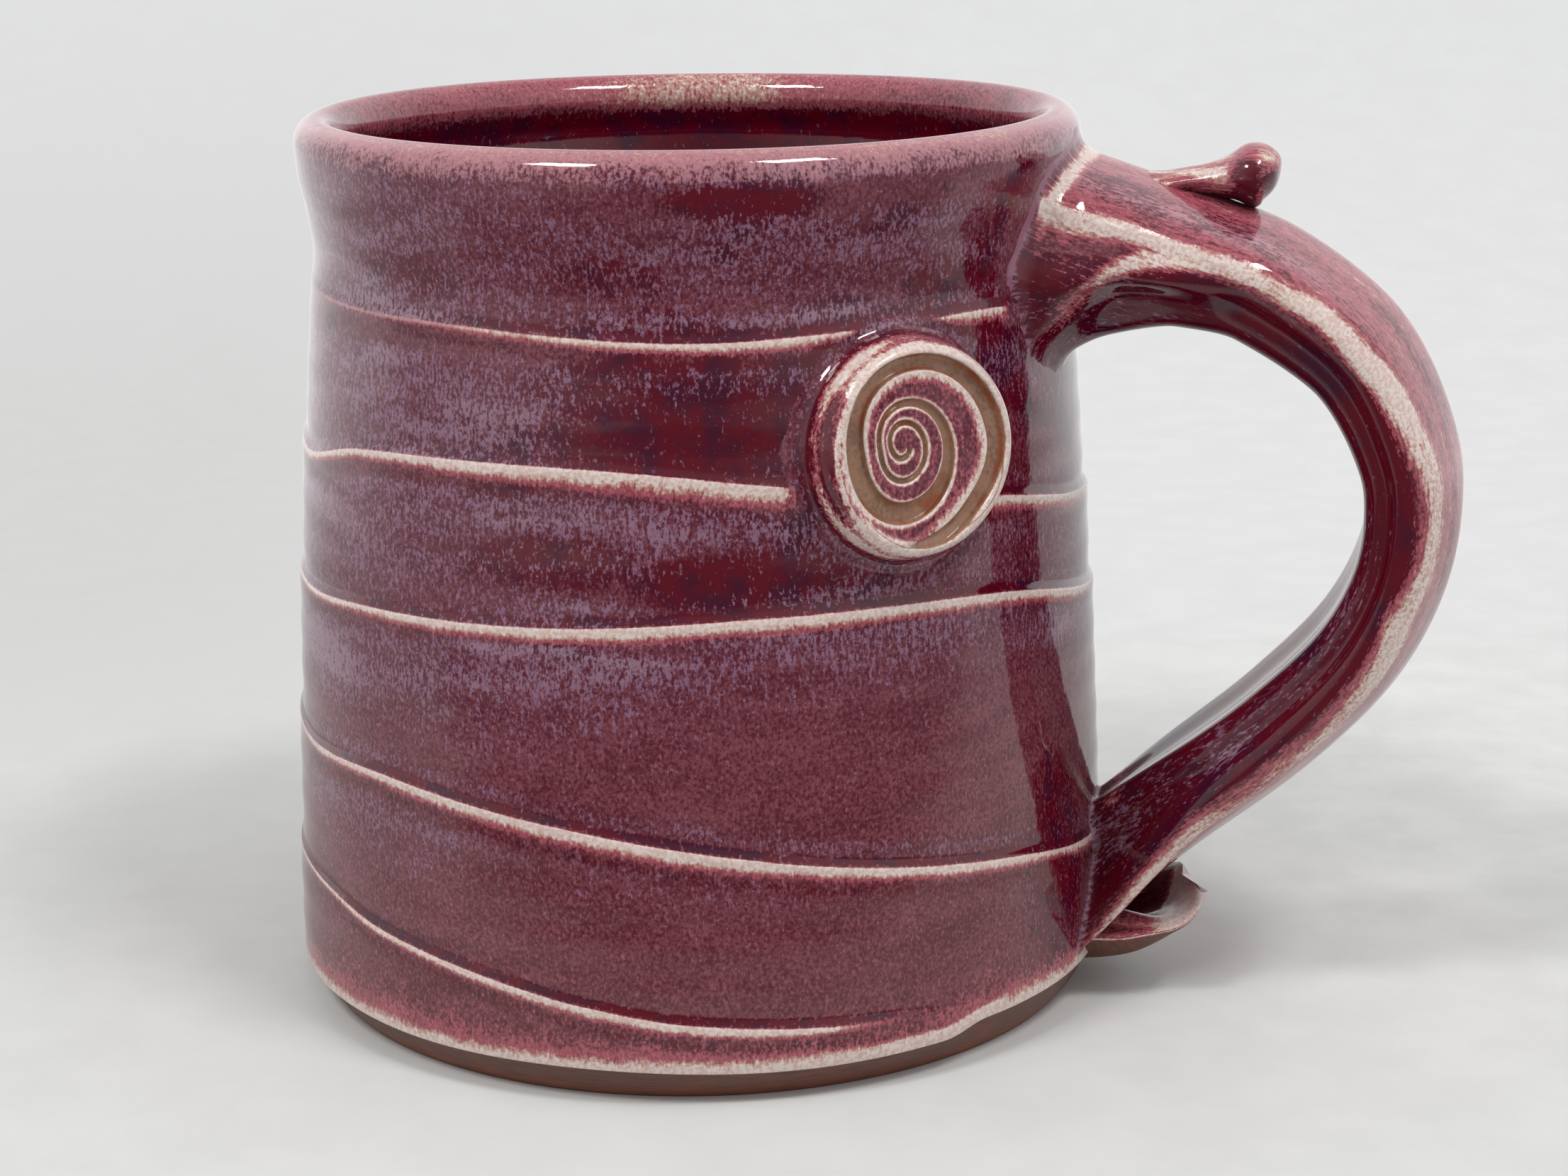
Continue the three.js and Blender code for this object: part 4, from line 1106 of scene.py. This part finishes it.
def glaze(name, colours, lavender=1.0, groove=None, drawn=1.0, flushed=0.0, breaks=1.0):
    """The glaze over stoneware. Fine upright flecks lighten the plum. The deep mask stains it red or purple. Lavender
    comes up in wisps, densely where the pool mask is high, over a darker ground. The thin mask breaks it through rose
    and tan to white with a ragged edge, and bare shows the clay. drawn is how far the streaks are drawn out along
    the flow, breaks how ragged the thin glaze is, and flushed how orange the bare clay is."""
    r = Recipe(bpy.data.materials.new(name))
    place = r.node("ShaderNodeAttribute", {"attribute_name": "flow"}, output="Vector")
    solid = r.node("ShaderNodeTexCoord", output="Object")
    height = r.node("ShaderNodeSeparateXYZ", output=2, Vector=solid) * 1000
    thin, pool, deep, bare = (r.mask(mask) for mask in MASKS)

    patches = r.noise(place, 24.0, detail=3.0, stretch=0.5 * drawn)
    bands = r.noise(place, 14.0, detail=2.0, stretch=0.18 * drawn, offset=3.0)
    clouds = r.noise(place, 4.5, detail=3.0, roughness=0.6, stretch=drawn, offset=5.0)
    streak = r.noise(place, 0.46, detail=3.0, roughness=0.7, stretch=3.2 * drawn)
    fine = r.noise(place, 0.34, detail=2.0, roughness=0.7, stretch=1.5 * drawn, offset=11.0)
    grain = r.noise(place, 0.45, detail=2.0, roughness=0.6, offset=17.0)
    upright = streak * 0.55 + fine * 0.45

    # Plain glaze, between a dark ground and its flecks.
    low = (height.ease(52.0, 26.0) + (bands - 0.5) * 0.8).kept()
    ground = r.blend(low, colours.plum, colours.brown)
    tone = (fine * 0.5 + grain * 0.5 + (bands - 0.5) * 0.22 + (clouds - 0.5) * 0.12).ease(0.36, 0.66)
    base = r.blend(tone, ground, colours.fleck)

    # Dark and clear.
    red_patch = patches.ease(0.54, 0.66) * clouds.ease(0.35, 0.6) * height.ease(40.0, 60.0, 0.1, 0.8)
    dark = (deep + red_patch * 0.7).kept()
    dark_colour = r.blend(clouds.ease(0.42, 0.66), colours.red, colours.purple)
    cover = (dark * 0.5 + (dark * 0.34 - upright + 0.42).ease(0.0, 0.12) * dark.ease(0.05, 0.4)).kept()
    base = r.blend(cover, base, dark_colour)

    # Lavender.
    amount = ((pool * (0.75 + (patches - 0.5) * 1.6) + (bands - 0.55) * 0.8 * pool.ease(0.0, 0.3)) * lavender).kept()
    base = r.blend(amount * 0.45, base, between(colours.purple, colours.plum, 0.5))
    wisps = (upright + amount * 0.2 - dark * 0.02).ease(0.575, 0.68)
    shade = r.blend(fine.ease(0.35, 0.65), between(colours.plum, colours.lavender, 0.55), colours.lavender)
    shade = r.blend(amount.ease(0.5, 0.9) * 0.6, shade, between(colours.lavender, colours.white, LIGHTER))
    base = r.blend(wisps * 0.92, base, shade)

    # Fine pale flecks low down.
    spark = (grain * 0.6 + fine * 0.4).ease(0.57, 0.66) * height.ease(45.0, 10.0, 0.0, 0.3)
    base = r.blend(spark, base, colours.rose)

    # Slip.
    slip = between(between(colours.lavender, colours.rose, SLIP_ROSE), colours.plum, SLIP_PLUM)
    base = r.blend(pool.ease(0.93, 1.0) * (0.95 - deep * 0.95), base, slip)

    # Thin. Over a dark glaze it only breaks through in flecks.
    rough = (upright - 0.5) * 0.9 + (grain - 0.5) * 0.35 + (clouds - 0.5) * (0.35 * breaks)
    ragged = thin + rough * (deep * 0.9 + breaks) - deep * 0.24
    rosy = r.blend(fine.ease(0.35, 0.65), between(colours.red, colours.rose, 0.6), colours.rose)
    light_rose = between(between(colours.rose, colours.lavender, ROSE_LAVENDER), colours.white, ROSE_WHITE)
    rosy = r.blend(pool.ease(0.3, 0.8) * 0.6, rosy, light_rose)
    base = r.blend(ragged.ease(0.2, 0.44) * 0.9, base, rosy)
    base = r.blend(ragged.ease(0.5, 0.64), base, colours.tan)
    pale = ragged.ease(0.6, 0.8)
    white = r.blend(grain.ease(0.6, 0.4) * 0.45, colours.white, colours.tan)
    base = r.blend(pale * 0.95, base, white)
    if groove is None:
        raw = bare.ease(0.35, 0.65)
    else:
        dim = [value * 0.45 for value in groove]
        wash = r.blend((clouds * 0.6 + grain * 0.4).ease(0.45, 0.62) * 0.7, groove, dim)
        stained = (bare.ease(0.6, 1.0) * patches.ease(0.42, 0.55) * clouds.ease(0.4, 0.6)).kept()
        wash = r.blend(stained, wash, colours.clay_edge)
        base = r.blend(bare.ease(0.15, 0.4), base, wash)
        raw = bare * 0.0

    rings = r.noise(place, 3.0, detail=2.0, stretch=0.08, offset=2.0)
    flush = (height.ease(2.4, 0.2) * 0.7 + clouds.ease(0.5, 0.7) * 0.3 + flushed).kept()
    clay = r.blend(flush, colours.clay, colours.clay_edge)
    # Trimming rings darken the bare clay, and the deep mask darkens it too: on the tail's underside that is painted
    # shade.
    dark_clay = [value * 0.4 for value in colours.clay]
    clay = r.blend((rings.ease(0.4, 0.65) * 0.4 + deep * 0.6).kept(), clay, dark_clay)
    base = r.blend(raw, base, clay)

    roughness = 0.06 + pale * 0.14 + raw * 0.5 + wisps * 0.03
    lumps = r.noise(place, 3.4, detail=2.0, offset=9.0) + r.noise(place, 1.0, detail=2.0, offset=13.0) * 0.2
    surface = lumps * 0.5 + pale * grain * 0.3 + raw * (grain + rings) * 0.5
    bump = r.node("ShaderNodeBump", Strength=0.15, Distance=0.0006, Height=surface)
    shader = r.node(
        "ShaderNodeBsdfPrincipled",
        Base_Color=base,
        Roughness=roughness,
        IOR=1.55,
        Normal=bump,
        Specular_IOR_Level=0.45,
    )
    return r.finished(shader)


# Operators


def settings():
    """The values of the wall, the handle, the medallion and the glaze."""
    return [values_of(getattr(bpy.context.scene, name)) for name in GROUPS]


class MUG_OT_body(bpy.types.Operator):
    """Throw the cup: wall, floor, lip and foot"""

    bl_idname = "mug.body"
    bl_label = "Body"

    def execute(self, context):
        wall, handle, medallion, colours = settings()
        made = put_surface("mug_cup", *body_surface(wall, handle, medallion))
        place(made, "mug_body", "body_glaze", glaze("body_glaze", colours))
        return {"FINISHED"}


class MUG_OT_strap(bpy.types.Operator):
    """Pull the strap handle"""

    bl_idname = "mug.strap"
    bl_label = "Strap"

    def execute(self, context):
        wall, handle, _, colours = settings()
        made = put_surface("strap", *strap_surface(wall, handle))
        place(made, "handle_strap", "handle_glaze", glaze("strap_glaze", colours, drawn=2.2, breaks=1.2))
        return {"FINISHED"}


class MUG_OT_curls(bpy.types.Operator):
    """Roll the thumb curl and flick up the tail"""

    bl_idname = "mug.curls"
    bl_label = "Curls"

    def execute(self, context):
        wall, handle, _, colours = settings()
        curl = put_surface("thumb_curl", *thumb_curl_surface(wall, handle))
        place(curl, "thumb_rest_curl", "handle_glaze", glaze("curl_glaze", colours, drawn=2.5))
        tail = put_surface("tail", *tail_curl_surface(wall, handle))
        place(tail, "tail_curl", "tail_clay", glaze("tail_glaze", colours, drawn=2.0, flushed=1.0))
        return {"FINISHED"}


class MUG_OT_medallion(bpy.types.Operator):
    """Press the spiral medallion on to the wall"""

    bl_idname = "mug.medallion"
    bl_label = "Medallion"

    def execute(self, context):
        wall, _, medallion, colours = settings()
        made = put_surface("medallion", *medallion_surface(wall, medallion))
        material = glaze("medallion_glaze", colours, lavender=0.6, groove=colours.groove, breaks=1.4)
        place(made, "spiral_medallion", "medallion_glaze", material)
        return {"FINISHED"}


# The camera: millimetres and radians, from the mug's axis, seen with the camera's foot point due south.
CAMERA_DISTANCE = 365.2
CAMERA_HEIGHT = 141.4
CAMERA_PAN = 0.02854
CAMERA_TILT = 0.25568
CAMERA_ROLL = -0.01384
CAMERA_BEARING = math.radians(14.0)
CAMERA_LENS = 71.61

# Level directions as the camera sees them: away from it, and to its right.
AWAY = (-math.sin(CAMERA_BEARING), math.cos(CAMERA_BEARING), 0.0)
ASIDE = (math.cos(CAMERA_BEARING), math.sin(CAMERA_BEARING), 0.0)

# The paper, in metres: its whole run, how far it starts in front of the mug, half its width and its grid. The bend
# starts at a share of the run and takes up a share of it.
PAPER_RUN, PAPER_FRONT, PAPER_HALF_WIDTH = 3.2, 1.15, 2.2
PAPER_ROWS, PAPER_COLUMNS = 60, 24
PAPER_BEND_START, PAPER_BEND_SHARE = 0.45, 0.25

# Screen colours: the paper round the mug, at its right, where it is painted brighter as painted light, and in its
# mottling, then the painted glow of the backdrop at the left, darker, at the right, brighter, far off and in its
# mottling, and the light that fills the room.
PAPER_NEAR, PAPER_RIGHT_PAINTED_LIGHT, PAPER_MOTTLE = (209, 209, 207), (220, 220, 218), (208, 208, 206)
BACK_GLOW_LEFT, BACK_GLOW_RIGHT, BACK_GLOW_FAR, BACK_MOTTLE = (214, 214, 213), (232, 232, 232), (227, 228, 228), (224, 224, 224)
ROOM_WHITE = (236, 237, 238)

# The lamps, in metres and watts: where each stands, its size and its power. All face a point on the mug.
LAMPS = (
    ("lamp_left", (-0.46, -0.43, 0.865), (0.26, 0.18), 3.8),
    ("lamp_right", (0.37, -0.375, 0.94), (0.26, 0.18), 3.5),
)
LAMP_AIM = (0, 0, 0.09)


class MUG_OT_stage(bpy.types.Operator):
    """Set the floor, the backdrop, the lights and the camera"""

    bl_idname = "mug.stage"
    bl_label = "Studio"

    def execute(self, context):
        self.paper()
        self.lights()
        self.camera(context.scene)
        return {"FINISHED"}

    def paper(self):
        """A sheet of pale paper: flat under the mug, then up behind it in a quarter round, as a ruled surface. Its
        slope turns evenly from level to upright over the bend, and its places are the running sum of its steps."""
        run = np.linspace(0, 1, PAPER_ROWS)
        bend = np.clip((run - PAPER_BEND_START) / PAPER_BEND_SHARE, 0, 1) * np.pi / 2
        step = PAPER_RUN / (PAPER_ROWS - 1)
        back = np.cumsum(np.cos(bend)) * step - PAPER_FRONT
        rise = np.cumsum(np.sin(bend)) * step
        side = np.linspace(-PAPER_HALF_WIDTH, PAPER_HALF_WIDTH, PAPER_COLUMNS)
        x, y = (side[None] * ASIDE[axis] + back[:, None] * AWAY[axis] for axis in range(2))
        points = np.stack(np.broadcast_arrays(x, y, rise[:, None]), -1).reshape(-1, 3)
        index = np.arange(len(points)).reshape(PAPER_ROWS, PAPER_COLUMNS)
        faces = np.stack([index[:-1, :-1], index[:-1, 1:], index[1:, 1:], index[1:, :-1]], -1).reshape(-1, 4)
        mesh = bpy.data.meshes.new("paper")
        mesh.from_pydata(points.tolist(), [], faces.tolist())
        mesh.polygons.foreach_set("use_smooth", np.ones(len(faces), bool))
        sheet = bpy.data.objects.new("paper", mesh)
        bpy.context.scene.collection.objects.link(sheet)
        mesh.materials.append(self.paper_material())

    def paper_material(self):
        """Mottled paper near the mug, painted brighter on its right as painted light, which turns behind it to a
        painted glow, darker on the left and brighter on the right, and what the gloss of the mug sees.
        """
        r = Recipe(bpy.data.materials.new("paper"))
        place_at = r.node("ShaderNodeTexCoord", output="Object")
        depth, right = r.along(place_at, AWAY), r.along(place_at, ASIDE)
        mottle = r.noise(place_at, 12.0, detail=4.0, roughness=0.6).ease(0.3, 0.7)
        # Behind and to the right of the mug the paper is painted brighter: painted light.
        beside = r.blend(right.ease(-0.1, 0.12), paint(*PAPER_NEAR), paint(*PAPER_RIGHT_PAINTED_LIGHT))
        near = r.blend(depth.ease(-0.08, 0.04), paint(*PAPER_NEAR), beside)
        shade = r.blend(mottle * 0.5, near, [value * 0.93 for value in paint(*PAPER_MOTTLE)])
        paper = r.node("ShaderNodeBsdfPrincipled", Base_Color=shade, Roughness=0.75, Specular_IOR_Level=0.2)
        # Behind the mug the paper glows for the camera instead of being lit, painted darker on the left and brighter
        # on the right: painted light.
        behind = r.blend(right.ease(-0.12, 0.1), paint(*BACK_GLOW_LEFT), paint(*BACK_GLOW_RIGHT))
        behind = r.blend(depth.ease(0.3, 0.7), behind, paint(*BACK_GLOW_FAR))
        behind = r.blend(mottle * 0.3, behind, [value * 0.96 for value in paint(*BACK_MOTTLE)])
        glow = r.node("ShaderNodeEmission", Color=behind, Strength=1.0)
        camera = r.node("ShaderNodeLightPath", output="Is Camera Ray")
        mixed = r.node("ShaderNodeMixShader", Fac=camera * depth.ease(0.05, 0.2), i1=paper, i2=glow)
        # What the gloss shows: dark in front, bright behind and on the left.
        left = right.ease(-0.12, -0.4)
        strength = (0.22 + depth.ease(-0.1, 0.35) + left * 0.55 + right.ease(0.1, 0.4) * 0.35).math("MINIMUM", 1.5)
        shown = r.node("ShaderNodeEmission", Color=paint(*ROOM_WHITE), Strength=strength)
        gloss = r.node("ShaderNodeLightPath", output="Is Glossy Ray")
        beyond = depth.ease(0.05, 0.2).larger(depth.ease(-0.06, -0.11)).larger(left)
        return r.finished(r.node("ShaderNodeMixShader", Fac=gloss * beyond, i1=mixed, i2=shown))

    def lamp(self, name, place_at, size, power):
        """A flat area lamp that faces the mug."""
        data = bpy.data.lights.new(name, "AREA")
        data.shape = "RECTANGLE"
        data.size, data.size_y = size
        data.energy = power
        lamp = bpy.data.objects.new(name, data)
        turn = Matrix.Rotation(CAMERA_BEARING, 3, "Z")
        spot, target = turn @ Vector(place_at), turn @ Vector(LAMP_AIM)
        lamp.location = spot
        lamp.rotation_mode = "QUATERNION"
        lamp.rotation_quaternion = (target - spot).to_track_quat("-Z", "Y")
        lamp.visible_camera = False
        bpy.context.scene.collection.objects.link(lamp)

    def lights(self):
        """Two small soft lamps in front and above, and a pale room that is brightest on the left."""
        for lamp in LAMPS:
            self.lamp(*lamp)
        r = Recipe(bpy.data.worlds.new("studio"))
        way = r.node("ShaderNodeTexCoord", output="Generated")
        depth, right = r.along(way, AWAY), r.along(way, ASIDE)
        up = r.node("ShaderNodeSeparateXYZ", output=2, Vector=way)
        left = (depth * 0.25 - right * 0.9).ease(-0.1, 1.0)
        strength = 0.3 + left * 0.9 + right.ease(0.0, 0.9) * 0.85 + up.ease(0.25, 0.85) * 0.35
        sky = r.node("ShaderNodeBackground", Color=paint(*ROOM_WHITE), Strength=strength)
        bpy.context.scene.world = r.finished(sky, "ShaderNodeOutputWorld")

    def camera(self, scene):
        """The camera that was fitted to the photo, turned about the mug's axis by its bearing."""
        pan, tilt, roll = CAMERA_PAN, CAMERA_TILT, CAMERA_ROLL
        ahead = np.array([math.sin(pan) * math.cos(tilt), math.cos(pan) * math.cos(tilt), -math.sin(tilt)])
        right = np.cross(ahead, [0, 0, 1])
        right /= np.linalg.norm(right)
        up = np.cross(right, ahead)
        right, up = (
            right * math.cos(roll) + up * math.sin(roll),
            up * math.cos(roll) - right * math.sin(roll),
        )
        turn = Matrix.Rotation(CAMERA_BEARING, 4, "Z")
        data = bpy.data.cameras.new("camera")
        data.sensor_width = 36.0
        data.lens = CAMERA_LENS
        data.clip_start = 0.01
        camera = bpy.data.objects.new("camera", data)
        pose = Matrix.Identity(4)
        for column, axis in enumerate((right, up, -ahead, np.array([0, -CAMERA_DISTANCE, CAMERA_HEIGHT]) / 1000)):
            for row in range(3):
                pose[row][column] = axis[row]
        camera.matrix_world = turn @ pose
        scene.collection.objects.link(camera)
        scene.camera = camera


class MUG_PT_panel(bpy.types.Panel):
    """Lists the mug's pieces in the sidebar"""

    bl_idname = "MUG_PT_panel"
    bl_label = "Pottery mug"
    bl_space_type = "VIEW_3D"
    bl_region_type = "UI"
    bl_category = "Mug"

    def draw(self, context):
        for operator in OPERATORS:
            self.layout.operator(operator.bl_idname)
        for name in GROUPS:
            box = self.layout.box()
            group = getattr(context.scene, name)
            box.label(text=GROUPS[name].__doc__)
            for key in names_in(group):
                box.prop(group, key)


GROUPS = {
    "mug_wall": MugWallSettings,
    "mug_handle": MugHandleSettings,
    "mug_medallion": MugMedallionSettings,
    "mug_glaze": MugGlazeSettings,
}
OPERATORS = (MUG_OT_body, MUG_OT_strap, MUG_OT_curls, MUG_OT_medallion, MUG_OT_stage)
CLASSES = (*GROUPS.values(), *OPERATORS, MUG_PT_panel)


def register():
    for made in CLASSES:
        bpy.utils.register_class(made)
    for name, group in GROUPS.items():
        setattr(bpy.types.Scene, name, bpy.props.PointerProperty(type=group))


def unregister():
    for name in GROUPS:
        delattr(bpy.types.Scene, name)
    for made in reversed(CLASSES):
        bpy.utils.unregister_class(made)


def main():
    register()
    bpy.context.scene.view_settings.view_transform = "Standard"
    bpy.ops.mug.body()
    bpy.ops.mug.strap()
    bpy.ops.mug.curls()
    bpy.ops.mug.medallion()
    bpy.ops.mug.stage()


if __name__ == "__main__":
    main()
